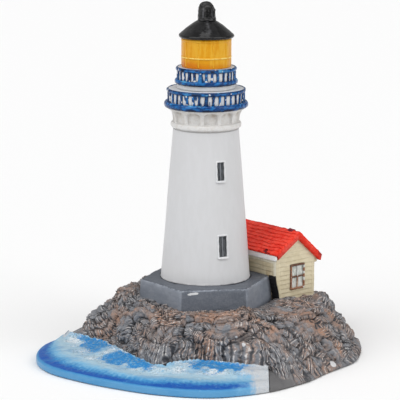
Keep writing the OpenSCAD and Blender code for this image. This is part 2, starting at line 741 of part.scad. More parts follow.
// Places children on an outer wall of the house: x to the right, -y outwards, z up
module on_wall(w) {
    house_frame()
        if (w[0] == 90) translate([w[2], w[1], bed_z + frame_z]) rotate([0, 0, 90]) children();
        else translate([w[1], w[2], bed_z + frame_z]) rotate([0, 0, w[0]]) children();
}

module house_walls() {
    post = 1.5;
    cove = 1.4;
    cove_z = under_roof(gable_w);
    hole_w = frame_w + glue_gap;
    hole_h = frame_h + glue_gap;
    color("khaki")
        difference() {
            house_frame() {
                intersection() {
                    along_house(-1, house_l + 2) polygon(gable_outline());
                    rotate([90, 0, 90]) translate([0, 0, -1])
                        linear_extrude(gable_w + 2) polygon(long_outline());
                }
                for (far = [0, 1], back = [0, 1])
                    translate([far ? gable_w + board_proud - post : -board_proud,
                               back ? house_l + board_proud - post : -board_proud, bed_z])
                        cube([post, post, (far ? far_wall_z : near_wall_z) - board_proud - 0.2]);
                along_house(-board_proud, house_l + 2 * board_proud)
                    polygon([[gable_w - 1, cove_z - 2.6], [gable_w + 0.5, cove_z - 2.6],
                             [gable_w + cove, under_roof(gable_w + cove) - 1],
                             [gable_w + cove, under_roof(gable_w + cove)],
                             [gable_w - 1, under_roof(gable_w - 1)]]);
            }
            plinth_room(glue_gap, plinth_h + glue_gap / 2);
            house_frame() along_house(-2, house_l / 2)
                polygon([[-2, bed_z - 1], [undercut, bed_z - 1], [undercut, bed_z + 1.5],
                         [0, deck_z], [-2, deck_z]]);
            for (w = house_windows) on_wall(w)
                translate([-hole_w / 2, -2, -glue_gap / 2]) cube([hole_w, 3, hole_h]);
        }
}

// Height of a line parallel to the walls' top and lift above it, on the near or the far side
function roof_line(x, near, lift) = near
    ? ridge_top + lift * sqrt(1 + near_slope ^ 2) - near_slope * (ridge_x - x)
    : ridge_top + lift * sqrt(1 + far_slope ^ 2) - far_slope * (x - ridge_x);

// One slope's courses from the ridge down to x: each starts low and ends course_step higher
function course_points(crown, x, near) = let (
    end = [x, roof_line(x, near, roof_t - course_step)],
    d = end - crown,
    out = near ? [d[1], -d[0]] / norm(d) : [-d[1], d[0]] / norm(d))
    [for (k = [0 : courses - 1]) each [
        crown + d * k / courses + out * (k == 0 ? course_step : 0),
        crown + d * (k + 1) / courses + out * course_step]];

roof_lift = roof_t - course_step;
crown_x = ridge_x
    + roof_lift * (sqrt(1 + far_slope ^ 2) - sqrt(1 + near_slope ^ 2)) / (near_slope + far_slope);
crown = [crown_x, roof_line(crown_x, true, roof_lift)];
// Height of the roof's near soffit, always a little under the roof's lower edge
soffit_z = min(under_roof(0) + soffit_h, roof_line(-overhang, true, roof_lift) - 0.3);

module house_roof() {
    near_x = -overhang;
    far_x = gable_w + far_overhang;
    far_out = roof_t * far_slope / sqrt(1 + far_slope ^ 2);
    color("red")
        house_frame() along_house(-overhang, house_l + 2 * overhang)
            polygon(concat(
                course_points(crown, far_x + 0.75 * far_out, false),
                [[far_x + far_out, roof_line(far_x + far_out, false, 0.7 * roof_t)],
                 [far_x + 0.6 * far_out, roof_line(far_x + 0.6 * far_out, false, 0.2 * roof_t)],
                 [far_x, under_roof(far_x)], [gable_w, under_roof(gable_w)], [ridge_x, ridge_top],
                 [0, under_roof(0)], [0, soffit_z], [near_x, soffit_z]],
                reverse(course_points(crown, near_x, true))));
}

module eave_board() {
    inset = 0.1;
    color("white")
        house_frame()
            translate([inset - overhang, inset - overhang, soffit_z - eave_board_h])
                cube([overhang - board_proud - 0.15, house_l + 2 * (overhang - inset), eave_board_h]);
}

// A low cap astride the ridge, near the gable, as wide as most of the first course on each side
module ridge_vent() {
    cover = 0.85;
    near_w = cover * (crown_x + overhang) / courses;
    far_w = cover * (gable_w + far_overhang - crown_x) / courses;
    bevel = 0.3 * far_w;
    top = course_step + vent_proud;
    color("maroon")
        difference() {
            house_frame() along_house(vent_y, vent_l)
                translate(crown)
                    polygon([[-near_w, -near_slope * near_w], [-near_w, top - bevel],
                             [bevel - near_w, top], [far_w - bevel, top], [far_w, top - bevel],
                             [far_w, -far_slope * far_w]]);
            house_roof();
        }
}

module house_window_frames() {
    front = board_proud + frame_proud;
    color("sienna")
        for (w = house_windows) on_wall(w)
            difference() {
                translate([-frame_w / 2, -front, 0]) cube([frame_w, front + 0.5, frame_h]);
                for (x = [0, 1], z = [0, 1])
                    translate([-frame_w / 2 + timber_w + x * (frame_w - timber_w) / 2, -2,
                               timber_w + z * (frame_h - timber_w) / 2])
                        cube([(frame_w - 3 * timber_w) / 2, 4, (frame_h - 3 * timber_w) / 2]);
            }
}

module house_window_panes() {
    color("lightgray")
        for (w = house_windows) on_wall(w)
            translate([-frame_w / 2, 0.5, 0]) cube([frame_w, 0.5, frame_h]);
}

felt_pad();
rock_base();
sea_apron();
plinth();
tower();
tower_window_frames();
tower_window_panes();
corbel_ring();
lower_moulding();
lower_gallery();
lower_railing();
watch_room();
upper_moulding();
upper_railing();
lantern();
lantern_glazing();
lantern_roof();
finial();
house_walls();
house_roof();
eave_board();
ridge_vent();
house_window_frames();
house_window_panes();
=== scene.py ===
"""The painted look of a cast resin lighthouse figurine, built round its CAD frame.

Every surface is a numpy grid in millimetres, in the frame of the CAD part: +Z up, the front
towards -Y, the origin under the tower. An azimuth is in degrees from the front towards +X.
"""

import logging
import math
from dataclasses import dataclass
from enum import Enum
from typing import Optional, Sequence, Union

import bpy
import numpy as np
from mathutils import Matrix, Vector


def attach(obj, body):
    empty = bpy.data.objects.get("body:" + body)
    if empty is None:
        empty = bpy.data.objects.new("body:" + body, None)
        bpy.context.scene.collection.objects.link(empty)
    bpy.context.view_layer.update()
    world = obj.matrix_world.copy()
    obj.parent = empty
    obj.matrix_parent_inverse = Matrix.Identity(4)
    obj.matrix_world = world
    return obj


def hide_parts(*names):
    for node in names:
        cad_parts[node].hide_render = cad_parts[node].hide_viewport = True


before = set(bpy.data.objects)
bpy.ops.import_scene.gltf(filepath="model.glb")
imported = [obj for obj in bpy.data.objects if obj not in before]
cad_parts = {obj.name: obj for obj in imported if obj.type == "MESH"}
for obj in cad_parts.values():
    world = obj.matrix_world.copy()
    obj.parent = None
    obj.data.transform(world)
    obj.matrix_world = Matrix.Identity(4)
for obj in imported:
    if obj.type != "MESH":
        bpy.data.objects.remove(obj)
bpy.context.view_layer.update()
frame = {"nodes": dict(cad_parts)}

Array = np.ndarray
Number = Union[Array, float]
Colour = tuple[float, float, float]
Table = tuple[tuple[float, ...], ...]
MM = 0.001
LOG = logging.getLogger("figurine")


# Numbers and patterns


def held(t: Number) -> Array:
    """t held between 0 and 1."""
    return np.clip(t, 0.0, 1.0)


def ease(t: Number) -> Array:
    """The smooth step 3t^2 - 2t^3 of t held between 0 and 1."""
    c = held(t)
    return c * c * (3.0 - 2.0 * c)


def bell(x: Number, width: Number, power: int = 2) -> Array:
    """The bump e^-(x / width)^power."""
    return np.exp(-((x / width) ** power))


def blend(a: Number, b: Number, t: Number) -> Array:
    """The straight mix a + (b - a) t."""
    return a + (b - a) * t


def circle(step: float) -> Array:
    """Azimuths right round, step degrees apart."""
    return np.arange(-180.0, 180.0, step)


def angles(count: int) -> Array:
    """Even angles right round, in radians."""
    return np.linspace(0, 2 * np.pi, count, endpoint=False)


def section(count: int, power: float) -> tuple[Array, Array]:
    """The swollen cosine and sine sgn(f) |f|^power of even angles right round."""
    c, s = (np.sign(f) * np.abs(f) ** power for f in (np.cos(angles(count)), np.sin(angles(count))))
    return c, s


def ends_rounded(t: Array) -> Array:
    """A section's size sqrt(1 - (1 - t)^2) near a rounded end, t the share of the rounding."""
    return np.sqrt(np.clip(1 - (1 - held(t)) ** 2, 0.02, 1))


def polar(az: Number, r: Number, z: Number) -> Array:
    """Points [r sin az, -r cos az, z], the azimuths in degrees."""
    a = np.radians(az)
    return np.stack(np.broadcast_arrays(r * np.sin(a), -r * np.cos(a), z), axis=-1)


def curve(table: Table, az: Array) -> Array:
    """A smooth closed curve through a full turn's table of [azimuth, value].

    Between rows b and c the value is the Hermite cubic in u = (az - b) / (c - b), with slopes
    taken over the neighbouring rows, as in the CAD source.

    Args:
        table: Rows from -180 to 180 degrees.
        az: Azimuths in degrees.

    Returns:
        The curve's values.
    """
    t = np.array(table, float)
    n = len(t) - 1
    i = np.clip(np.searchsorted(t[:, 0], az, side="right") - 1, 0, n - 1)

    def row(k: Array) -> tuple[Array, Array]:
        """Row k of the table, continued round the turn."""
        turns = np.floor_divide(k, n)
        return t[k - turns * n, 0] + 360.0 * turns, t[k - turns * n, 1]

    (ax, ay), (bx, by), (cx, cy), (dx, dy) = row(i - 1), row(i), row(i + 1), row(i + 2)
    w = cx - bx
    u = (az - bx) / w
    m, k = w * (cy - ay) / (cx - ax), w * (dy - by) / (dx - bx)
    return (by * (2 * u**3 - 3 * u**2 + 1) + m * (u**3 - 2 * u**2 + u)
            + cy * (3 * u**2 - 2 * u**3) + k * (u**3 - u**2))


def grit(i: Number, j: Number, k: Number) -> Array:
    """A cell's number: the fraction of 43758.5453 sin(127.1 i + 311.7 j + 74.7 k)."""
    v = np.sin(np.radians(i * 127.1 + j * 311.7 + k * 74.7)) * 43758.5453
    return v - np.floor(v)


def noise(p: Array, size: Union[float, Sequence[float]], seed: float) -> Array:
    """Value noise from -1 to 1: the eight corners' numbers mixed by 6t^5 - 15t^4 + 10t^3.

    Args:
        p: Points.
        size: The size of a cell, or its size along each axis.
        seed: Picks another pattern.

    Returns:
        One value for each point.
    """
    p = p / np.asarray(size, float)
    base = np.floor(p)
    f = p - base
    w = f**3 * (f * (f * 6 - 15) + 10)
    out = np.zeros(p.shape[:-1])
    for corner in np.ndindex(2, 2, 2):
        c = np.array(corner)
        share = np.prod(np.where(c == 1, w, 1 - w), axis=-1)
        q = base + c
        out += share * grit(q[..., 0], q[..., 1], q[..., 2] * 3.1 + seed * 17.3)
    return 2 * out - 1


def fractal(p: Array, size: Union[float, Sequence[float]], octaves: int, seed: float) -> Array:
    """The sum of noise(2^k p) / 2^k over the octaves."""
    p = p / np.asarray(size, float)
    return sum(noise(p * 2.0**k, 1.0, seed + k) / 2.0**k for k in range(octaves))


def flat_noise(p: Array, size: float, seed: float) -> Array:
    """Noise over a plane's points [x, y]."""
    return noise(np.concatenate([p, 0 * p[..., :1]], axis=-1), size, seed)


def normals(points: Array) -> Array:
    """Unit normals of a grid of closed rings: the cross product of its column and row steps."""
    around = np.roll(points, -1, axis=1) - np.roll(points, 1, axis=1)
    n = np.cross(around, np.gradient(points, axis=0))
    return n / (np.linalg.norm(n, axis=-1, keepdims=True) + 1e-9)


# Meshes


def added(name: str, data: bpy.types.ID) -> bpy.types.Object:
    """A new object of the scene."""
    thing = bpy.data.objects.new(name, data)
    bpy.context.scene.collection.objects.link(thing)
    return thing


class Shape:
    """Points, faces and painting marks of one piece, gathered part by part in millimetres."""

    def __init__(self) -> None:
        """Starts with nothing."""
        self.points: list[Array] = []
        self.faces: list[list[int]] = []
        self.marks: dict[str, list[Array]] = {}
        self.count = 0

    def add(self, points: Array, faces: Sequence[Array], marks: dict[str, Array]) -> None:
        """Adds a closed part, its faces turned outward where its signed volume is negative.

        The volume is a sixth of the sum of a . (b x c) over the triangles a, b, c.

        Args:
            points: One row for each point.
            faces: Arrays of point numbers, one row for each face.
            marks: A value for each point, by the name of its mark.
        """
        n = len(points)
        for name in set(self.marks) | set(marks):
            have = self.marks.setdefault(name, [np.zeros(self.count)] if self.count else [])
            have.append(np.asarray(marks.get(name, np.zeros(n)), float).ravel())
        fans = np.vstack([f[:, [0, k, k + 1]] for f in faces for k in range(1, f.shape[1] - 1)])
        a, b, c = np.moveaxis((points - points.mean(0))[fans], 1, 0)
        outward = np.sum(a * np.cross(b, c)) > 0
        for block in faces:
            self.faces += ((block if outward else block[:, ::-1]) + self.count).tolist()
        self.points.append(points)
        self.count += n

    def grid(self, points: Array, zipped: bool = False, **marks: Array) -> None:
        """Adds a grid of quads whose rows are closed rings.

        Args:
            points: Rows, columns and x, y, z.
            zipped: Whether each end ring is closed between its two halves, and not by a pole.
            marks: A value for each grid point, by the name of its mark.
        """
        rows, cols = points.shape[:2]
        a = np.arange(rows * cols).reshape(rows, cols)
        b = np.roll(a, -1, axis=1)
        faces = [np.stack([a[:-1], b[:-1], b[1:], a[1:]], -1).reshape(-1, 4)]
        flat = points.reshape(-1, 3)
        values = {k: np.broadcast_to(v, (rows, cols)).ravel() for k, v in marks.items()}
        if zipped:
            near, far = a[:, :cols // 2], a[:, ::-1][:, :cols // 2]
            faces.append(np.stack([near[0, :-1], far[0, :-1], far[0, 1:], near[0, 1:]], -1))
            faces.append(np.stack([near[-1, :-1], near[-1, 1:], far[-1, 1:], far[-1, :-1]], -1))
        else:
            low, high = np.full(cols, rows * cols), np.full(cols, rows * cols + 1)
            flat = np.vstack([flat, points[0].mean(0), points[-1].mean(0)])
            values = {k: np.append(v, [v[:cols].mean(), v[-cols:].mean()]) for k, v in values.items()}
            faces += [np.stack([b[0], a[0], low], -1), np.stack([a[-1], b[-1], high], -1)]
        self.add(flat, faces, values)

    def ring(self, points: Array, **marks: Array) -> None:
        """Adds a grid that closes both ways, such as a moulding or a window frame."""
        index = np.arange(points[..., 0].size).reshape(points.shape[:2])
        right, up = np.roll(index, -1, axis=1), np.roll(index, -1, axis=0)
        quads = np.stack([index, right, np.roll(right, -1, axis=0), up], -1).reshape(-1, 4)
        self.add(points.reshape(-1, 3), [quads],
                 {k: np.broadcast_to(v, index.shape) for k, v in marks.items()})

    def build(self, name: str, paint: "Paint", node: str) -> bpy.types.Object:
        """Makes the piece, riding on the part's one body.

        Args:
            name: The piece's name.
            paint: Its paint.
            node: The CAD node that it stands for.

        Returns:
            The finished object.
        """
        mesh = bpy.data.meshes.new(name)
        mesh.from_pydata((np.vstack(self.points) * MM).tolist(), [], self.faces)
        mesh.polygons.foreach_set("use_smooth", np.ones(len(mesh.polygons), bool))
        for key, parts in self.marks.items():
            mesh.attributes.new(key, "FLOAT", "POINT").data.foreach_set("value", np.concatenate(parts))
        mesh.update()
        piece = added(name, mesh)
        mesh.materials.append(paint.value.material())
        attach(piece, "root")
        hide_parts(node)
        LOG.info("%s: %d points, %d faces", name, len(mesh.vertices), len(mesh.polygons))
        return piece


def resample(profile: Sequence[Sequence[float]], step: float) -> Array:
    """The profile with points at most step apart, its corners kept.

    Args:
        profile: Rows of the profile's corners.
        step: The largest distance between points.

    Returns:
        The denser profile.
    """
    p = np.array(profile, float)
    parts = []
    for a, b in zip(p[:-1], p[1:]):
        n = max(1, int(math.ceil(np.linalg.norm(b - a) / step)))
        parts.append(blend(a, b, np.arange(n)[:, None] / n))
    return np.vstack(parts + [p[-1:]])


def rounded(profile: Array, times: int) -> Array:
    """The profile with each inner point (a + 2 b + c) / 4 of itself and its neighbours, several times."""
    p = profile.copy()
    for _ in range(times):
        p[1:-1] = (p[:-2] + 2 * p[1:-1] + p[2:]) / 4
    return p


def turned(profile: Array, step: float) -> tuple[Array, Array, Array, Array]:
    """A surface of revolution: the profile [r, z] at azimuths step degrees apart.

    Args:
        profile: Rows of radius and height.
        step: Degrees between columns.

    Returns:
        The grid's azimuths, the columns of radii and heights, and the grid's points.
    """
    turn = np.broadcast_to(circle(step), (len(profile), len(circle(step))))
    r, z = profile[:, :1], profile[:, 1:]
    return turn, r, z, polar(turn, r, z)


def tube(path: Array, side: Array, out: Array, wide: Number, deep: Number, sides: int) -> Array:
    """A bar along a path: path + side wide c + out deep s, with c and s of a swollen section.

    Args:
        path: Points of the bar's middle line.
        side: Unit vectors across the bar.
        out: Unit vectors out of the surface that it lies on.
        wide: Half the bar's width at each point.
        deep: Half the bar's depth at each point.
        sides: Points round the bar.

    Returns:
        A grid with one ring for each point of the path.
    """
    c, s = section(sides, 0.7)
    wide, deep = np.broadcast_to(wide, len(path)), np.broadcast_to(deep, len(path))
    return (path[:, None] + side[:, None] * (wide[:, None] * c)[..., None]
            + out[:, None] * (deep[:, None] * s)[..., None])


def upright(az: Array, path: Array, wide: Number, deep: Number, sides: int) -> Array:
    """A bar that stands on the face of a drum at the azimuths az."""
    return tube(path, polar(az + 90, 1.0, 0.0), polar(az, 1.0, 0.0), wide, deep, sides)


def rounded_rectangle(w: float, h: float, r: float, count: int) -> Array:
    """Points evenly round a rectangle, anticlockwise: each corner's centre plus r [cos a, sin a].

    Args:
        w: Half its width.
        h: Half its height.
        r: Its corners' radius.
        count: How many points.

    Returns:
        Rows of x and y.
    """
    a = np.radians(np.arange(0, 360, 10) + 5.0)
    corner = np.stack([np.sign(np.cos(a)) * (w - r), np.sign(np.sin(a)) * (h - r)], -1)
    ring = corner + r * np.stack([np.cos(a), np.sin(a)], -1)
    ring = np.vstack([ring, ring[:1]])
    length = np.concatenate([[0], np.cumsum(np.linalg.norm(np.diff(ring, axis=0), axis=1))])
    at = np.linspace(0, length[-1], count, endpoint=False)
    return np.stack([np.interp(at, length, ring[:, k]) for k in (0, 1)], -1)


def carried(path: Array, wide: Number, c: Array) -> tuple[Array, Array]:
    """The x and y of a flat loop moved to its right by wide c."""
    along = np.roll(path, -1, axis=0) - np.roll(path, 1, axis=0)
    side = np.stack([along[:, 1], -along[:, 0]], -1) / np.linalg.norm(along, axis=1, keepdims=True)
    return path[:, :1] + side[:, :1] * wide * c, path[:, 1:] + side[:, 1:] * wide * c


def tile(w: float, h: float, r: float, rings: int) -> tuple[Array, Array, Array]:
    """A thin tile as rings that grow from its middle, then two rings behind its rim.

    Args:
        w: Half its width.
        h: Half its height.
        r: Its corners' radius.
        rings: Rings on its face.

    Returns:
        The grid of x and y, each ring's share of the outline, and whether it lies on the face.
    """
    shares = np.concatenate([np.linspace(0.02, 1, rings), [1.0, 0.5]])[:, None]
    flat = rounded_rectangle(w, h, r, 96)[None] * shares[..., None]
    return flat, shares, (np.arange(rings + 2) < rings)[:, None]


# Paint


class Value:
    """A number that varies over a surface: one shader socket with Python's arithmetic."""

    def __init__(self, kit: "Kit", socket: bpy.types.NodeSocket) -> None:
        self.kit, self.socket = kit, socket

    def join(self, operation: str, a: "Input", b: "Input") -> "Value":
        """One Math node on a and b."""
        node = self.kit.node("ShaderNodeMath", {"operation": operation}, {0: a, 1: b})
        return Value(self.kit, node.outputs[0])

    def __add__(self, other: "Input") -> "Value":
        """self + other."""
        return self.join("ADD", self, other)

    def __sub__(self, other: "Input") -> "Value":
        """self - other."""
        return self.join("SUBTRACT", self, other)

    def __rsub__(self, other: "Input") -> "Value":
        """other - self."""
        return self.join("SUBTRACT", other, self)

    def __mul__(self, other: "Input") -> "Value":
        """self times other."""
        return self.join("MULTIPLY", self, other)

    __radd__, __rmul__ = __add__, __mul__

    def step(self, low: float, high: float) -> "Value":
        """A smooth rise from 0 at low to 1 at high."""
        node = self.kit.node("ShaderNodeMapRange", {"interpolation_type": "SMOOTHSTEP"},
                             {"Value": self, "From Min": low, "From Max": high})
        return Value(self.kit, node.outputs["Result"])


Input = Union[Value, bpy.types.NodeSocket, float, tuple]
Coat = tuple[Input, Input]


class Kit:
    """The nodes of one material."""

    def __init__(self, name: str) -> None:
        """Starts a material with no nodes."""
        self.material = bpy.data.materials.new(name)
        self.material.use_nodes = True
        self.tree = self.material.node_tree
        self.tree.nodes.clear()
        self.place = self.node("ShaderNodeTexCoord", {}, {}).outputs["Object"]

    def node(self, kind: str, settings: dict, sockets: dict) -> bpy.types.Node:
        """Makes a node.

        Args:
            kind: Blender's name of the node's type.
            settings: Its settings, among them a ramp's stops as (place, colour) pairs.
            sockets: A value or a link for each input, by name or number.

        Returns:
            The node.
        """
        node = self.tree.nodes.new(kind)
        for key, value in settings.items():
            if key == "stops":
                for k, (at, colour) in enumerate(value):
                    spot = node.color_ramp.elements[k] if k < 2 else node.color_ramp.elements.new(at)
                    spot.position = at
                    spot.color = (*colour, 1.0)
            else:
                setattr(node, key, value)
        for key, value in sockets.items():
            link = value.socket if isinstance(value, Value) else value
            if isinstance(link, bpy.types.NodeSocket):
                self.tree.links.new(link, node.inputs[key])
            else:
                node.inputs[key].default_value = link
        return node

    def mark(self, name: str) -> Value:
        """A piece's own mark."""
        return Value(self, self.node("ShaderNodeAttribute", {"attribute_name": name}, {}).outputs["Fac"])

    def grain(self, size: float, detail: float = 2.0, stretch: Sequence[float] = (1, 1, 1),
              warp: float = 0.0) -> Value:
        """Noise from 0 to 1.

        Args:
            size: The size of its features in millimetres.
            detail: How many finer layers it has.
            stretch: How much longer they are along each axis.
            warp: How far they are twisted.

        Returns:
            The noise.
        """
        scale = tuple(1.0 / s for s in stretch)
        where = self.node("ShaderNodeMapping", {}, {"Vector": self.place, "Scale": scale})
        node = self.node("ShaderNodeTexNoise", {},
                         {"Vector": where.outputs[0], "Scale": 1000.0 / size, "Detail": detail,
                          "Roughness": 0.6, "Distortion": warp})
        return Value(self, node.outputs["Fac"])

    def wave(self, value: Value, pitch: float) -> Value:
        """A wave from 0 to 1 that repeats every pitch: (1 + sin(2 pi value / pitch)) / 2."""
        node = self.node("ShaderNodeMath", {"operation": "SINE"}, {0: value * (2 * math.pi / pitch)})
        return Value(self, node.outputs[0]) * 0.5 + 0.5

    def layers(self, base: Input, *coats: Coat) -> Input:
        """A base colour under coats, each a colour and the share that it covers.

        Args:
            base: The colour under them all.
            coats: Pairs of a colour and its share, the top one last.

        Returns:
            The colour that shows.
        """
        for colour, share in coats:
            pair = [(*c, 1.0) if isinstance(c, tuple) else c for c in (base, colour)]
            node = self.node("ShaderNodeMix", {"data_type": "RGBA"}, {0: share, 6: pair[0], 7: pair[1]})
            base = node.outputs[2]
        return base

    def finish(self, colour: Input, rough: Input, height: Optional[Value] = None, depth: float = 0.1,
               coat: float = 0.0, sheen: float = 0.0, shine: float = 0.5) -> bpy.types.Material:
        """Closes the material.

        Args:
            colour: The base colour.
            rough: The roughness.
            height: A relief from 0 to 1, or none.
            depth: What the relief's full height stands for, in millimetres.
            coat: The weight of a clear coat.
            sheen: The weight of a cloth's sheen.
            shine: The specular level.

        Returns:
            The material.
        """
        inputs = {"Base Color": (*colour, 1.0) if isinstance(colour, tuple) else colour,
                  "Roughness": rough, "Coat Weight": coat, "Coat Roughness": 0.12,
                  "Sheen Weight": sheen, "Specular IOR Level": shine}
        if height is not None:
            bump = self.node("ShaderNodeBump", {},
                             {"Strength": 1.0, "Distance": depth * MM, "Height": height})
            inputs["Normal"] = bump.outputs["Normal"]
        surface = self.node("ShaderNodeBsdfPrincipled", {}, inputs)
        self.node("ShaderNodeOutputMaterial", {}, {"Surface": surface.outputs[0]})
        return self.material


@dataclass(frozen=True)
class Finish:
    """A paint: its name, the record's material slot and its main colour."""

    name: str
    slot: str
    colour: Colour

    def material(self) -> bpy.types.Material:
        """The paint's material, made once."""
        label = f"painted_{self.name}"
        return bpy.data.materials.get(label) or self.mixed(Kit(label))

    def mixed(self, kit: Kit) -> bpy.types.Material:
        """Puts the paint's nodes together."""
        return kit.finish(self.colour, 0.5)


@dataclass(frozen=True)
class StonePaint(Finish):
    """Dark wash in the cuts, grey, brown and rust brushed over what stands out, pale crests."""

    cut: Colour = (0.05, 0.052, 0.06)
    grey: Colour = (0.19, 0.195, 0.212)
    brown: Colour = (0.285, 0.203, 0.168)
    rust: Colour = (0.4, 0.2, 0.115)
    pale: Colour = (0.6, 0.58, 0.56)
    skirt: Colour = (0.14, 0.138, 0.14)
    dab: Colour = (0.6, 0.6, 0.61)
    pitch: float = 1.6

    def mixed(self, kit: Kit) -> bpy.types.Material:
        """Colour by the marks height, tint, carved and skirt, with lines along the mark stroke.

        Args:
            kit: The material's nodes.

        Returns:
            The material.
        """
        stroke = kit.mark("stroke") + 0.5 * (kit.grain(1.7) - 0.5)
        carved, tint, dab = kit.mark("carved"), kit.mark("tint"), kit.mark("dab")
        crest = kit.wave(stroke - self.pitch / 4, self.pitch)
        hair = kit.wave(stroke + 0.5 * kit.grain(2.3), self.pitch * 0.6)
        fleck = kit.grain(0.6, 3.0, (1, 1, 1.4), 0.6)
        level = kit.mark("height") + carved * (0.3 * crest + 0.22 * hair - 0.27) + 0.34 * (fleck - 0.5)
        warm = tint + 1.1 * (kit.grain(2.6, 3.0) - 0.5) + 0.3 * (fleck - 0.5) + carved * 0.36 * (hair - 0.5)
        rusty = (tint + 1.2 * (kit.grain(3.2, 3.0) - 0.5)).step(0.6, 0.8)
        some = carved * kit.grain(1.6).step(0.42, 0.56)
        plain = kit.layers(self.skirt, (self.colour, kit.grain(2.0, 3.0, (3, 3, 1)).step(0.4, 0.7) * 0.6))
        base = kit.layers(
            self.cut,
            (self.colour, level.step(0.0, 0.24)),
            (self.grey, level.step(0.18, 0.5)),
            (self.brown, warm.step(0.26, 0.68) * level.step(0.08, 0.36) * 0.9),
            (self.rust, rusty * level.step(0.25, 0.6) * 0.6),
            (self.cut, crest.step(0.3, 0.05) * some * 0.66),
            (self.pale, hair.step(0.68, 0.96) * some * level.step(0.26, 0.55) * 0.8),
            (self.pale, (level + 1.1 * (kit.grain(0.7) - 0.5)).step(0.84, 1.02) * 0.7),
            (plain, kit.mark("skirt")),
            (self.dab, (dab + 0.8 * (fleck - 0.5) * dab).step(0.35, 0.6)))
        relief = 0.4 * fleck + 0.6 * (carved * (0.6 * crest + 0.4 * hair)) * (1 - kit.mark("skirt"))
        return kit.finish(base, 0.45 + 0.2 * kit.grain(1.4), relief, 0.3, shine=0.25)


@dataclass(frozen=True)
class SeaPaint(Finish):
    """Bands of blue and foam over the mark shore, azure patches by the mark azure, a white end."""

    lip: Colour = (0.24, 0.37, 0.45)
    wall: Colour = (0.1, 0.3, 0.53)
    mid: Colour = (0.045, 0.23, 0.49)
    deep: Colour = (0.004, 0.085, 0.38)
    light: Colour = (0.18, 0.42, 0.63)
    pale: Colour = (0.36, 0.52, 0.62)
    azure: Colour = (0.022, 0.21, 0.52)
    foam: Colour = (0.72, 0.745, 0.765)
    shade: Colour = (0.19, 0.28, 0.35)
    end: Colour = (0.52, 0.54, 0.56)
    bare: Colour = (0.018, 0.02, 0.025)

    def bands(self, kit: Kit) -> Input:
        """The blues from the lip to the rock, along the mark shore, ragged by streaks.

        Args:
            kit: The material's nodes.

        Returns:
            The colour.
        """
        shore = kit.mark("shore")
        across = kit.wave(kit.mark("along") + 1.6 * kit.grain(3.0, 3.0), 1.9)
        ragged = 0.12 * (kit.grain(9.0, 3.0) - 0.5) + 0.16 * (kit.grain(1.3, 3.0) - 0.5) + 0.02 * across
        place = shore + ragged * shore.step(0.03, 0.12) + 0.012 * (kit.grain(3.0, 3.0) - 0.5)
        stops = ((0.0, self.lip), (0.007, self.wall), (0.026, self.wall), (0.042, self.mid),
                 (0.055, self.deep), (0.15, self.deep), (0.22, self.mid), (0.3, self.light),
                 (0.42, self.pale), (0.8, self.pale), (1.0, self.light))
        return kit.node("ShaderNodeValToRGB", {"stops": stops}, {"Fac": place}).outputs["Color"]

    def mixed(self, kit: Kit) -> bpy.types.Material:
        """Grainy foam and azure patches over the bands.

        Args:
            kit: The material's nodes.

        Returns:
            The material.
        """
        thin = kit.grain(0.9, 3.0, (1, 3.5, 3.5))
        cloud = kit.grain(4.5, 3.0, (1.8, 1, 1)).step(0.42, 0.6)
        fleck = kit.grain(0.5, 4.0, warp=1.2)
        curd = kit.grain(1.6, 4.0, warp=1.0)
        fine = kit.grain(0.8, 3.0, warp=0.6)
        foam, white = kit.mark("foam"), kit.mark("white")
        lace = (foam + 1.3 * (curd - 0.5) + 0.8 * (fine - 0.5)).step(0.25, 0.8)
        blue = kit.layers(self.azure, (self.light, (curd + 0.5 * (fleck - 0.5)).step(0.5, 0.72) * 0.8))
        end = kit.layers(self.end, (self.shade, fleck.step(0.5, 0.7) * 0.5))
        base = kit.layers(
            self.bands(kit),
            (self.mid, kit.grain(3.5, 3.0, (4, 2, 1)).step(0.5, 0.62) * 0.35),
            (self.light, (white + 0.5 * (curd - 0.5)).step(0.02, 0.5) * 0.75),
            (self.foam, lace * (0.3 + 0.7 * cloud) * fleck.step(0.36, 0.56)),
            (blue, (kit.mark("azure") + 1.6 * (fine - 0.5) + 1.5 * (curd - 0.5)).step(0.15, 0.75)),
            (self.shade, foam.step(0.2, 0.6) * fine.step(0.5, 0.42) * curd.step(0.44, 0.52) * 0.85),
            (self.light, foam * curd.step(0.52, 0.6) * fine.step(0.45, 0.55) * 0.75),
            (end, (white + 0.7 * (curd - 0.5) + 0.8 * (thin - 0.5)).step(0.3, 1.0)),
            (self.bare, (kit.mark("bare") + 1.2 * (fine - 0.5)).step(0.45, 0.7)))
        relief = kit.grain(0.45, 3.0) * (0.2 + foam)
        return kit.finish(base, 0.34 + 0.22 * foam, relief, 0.16, coat=0.06, shine=0.14)


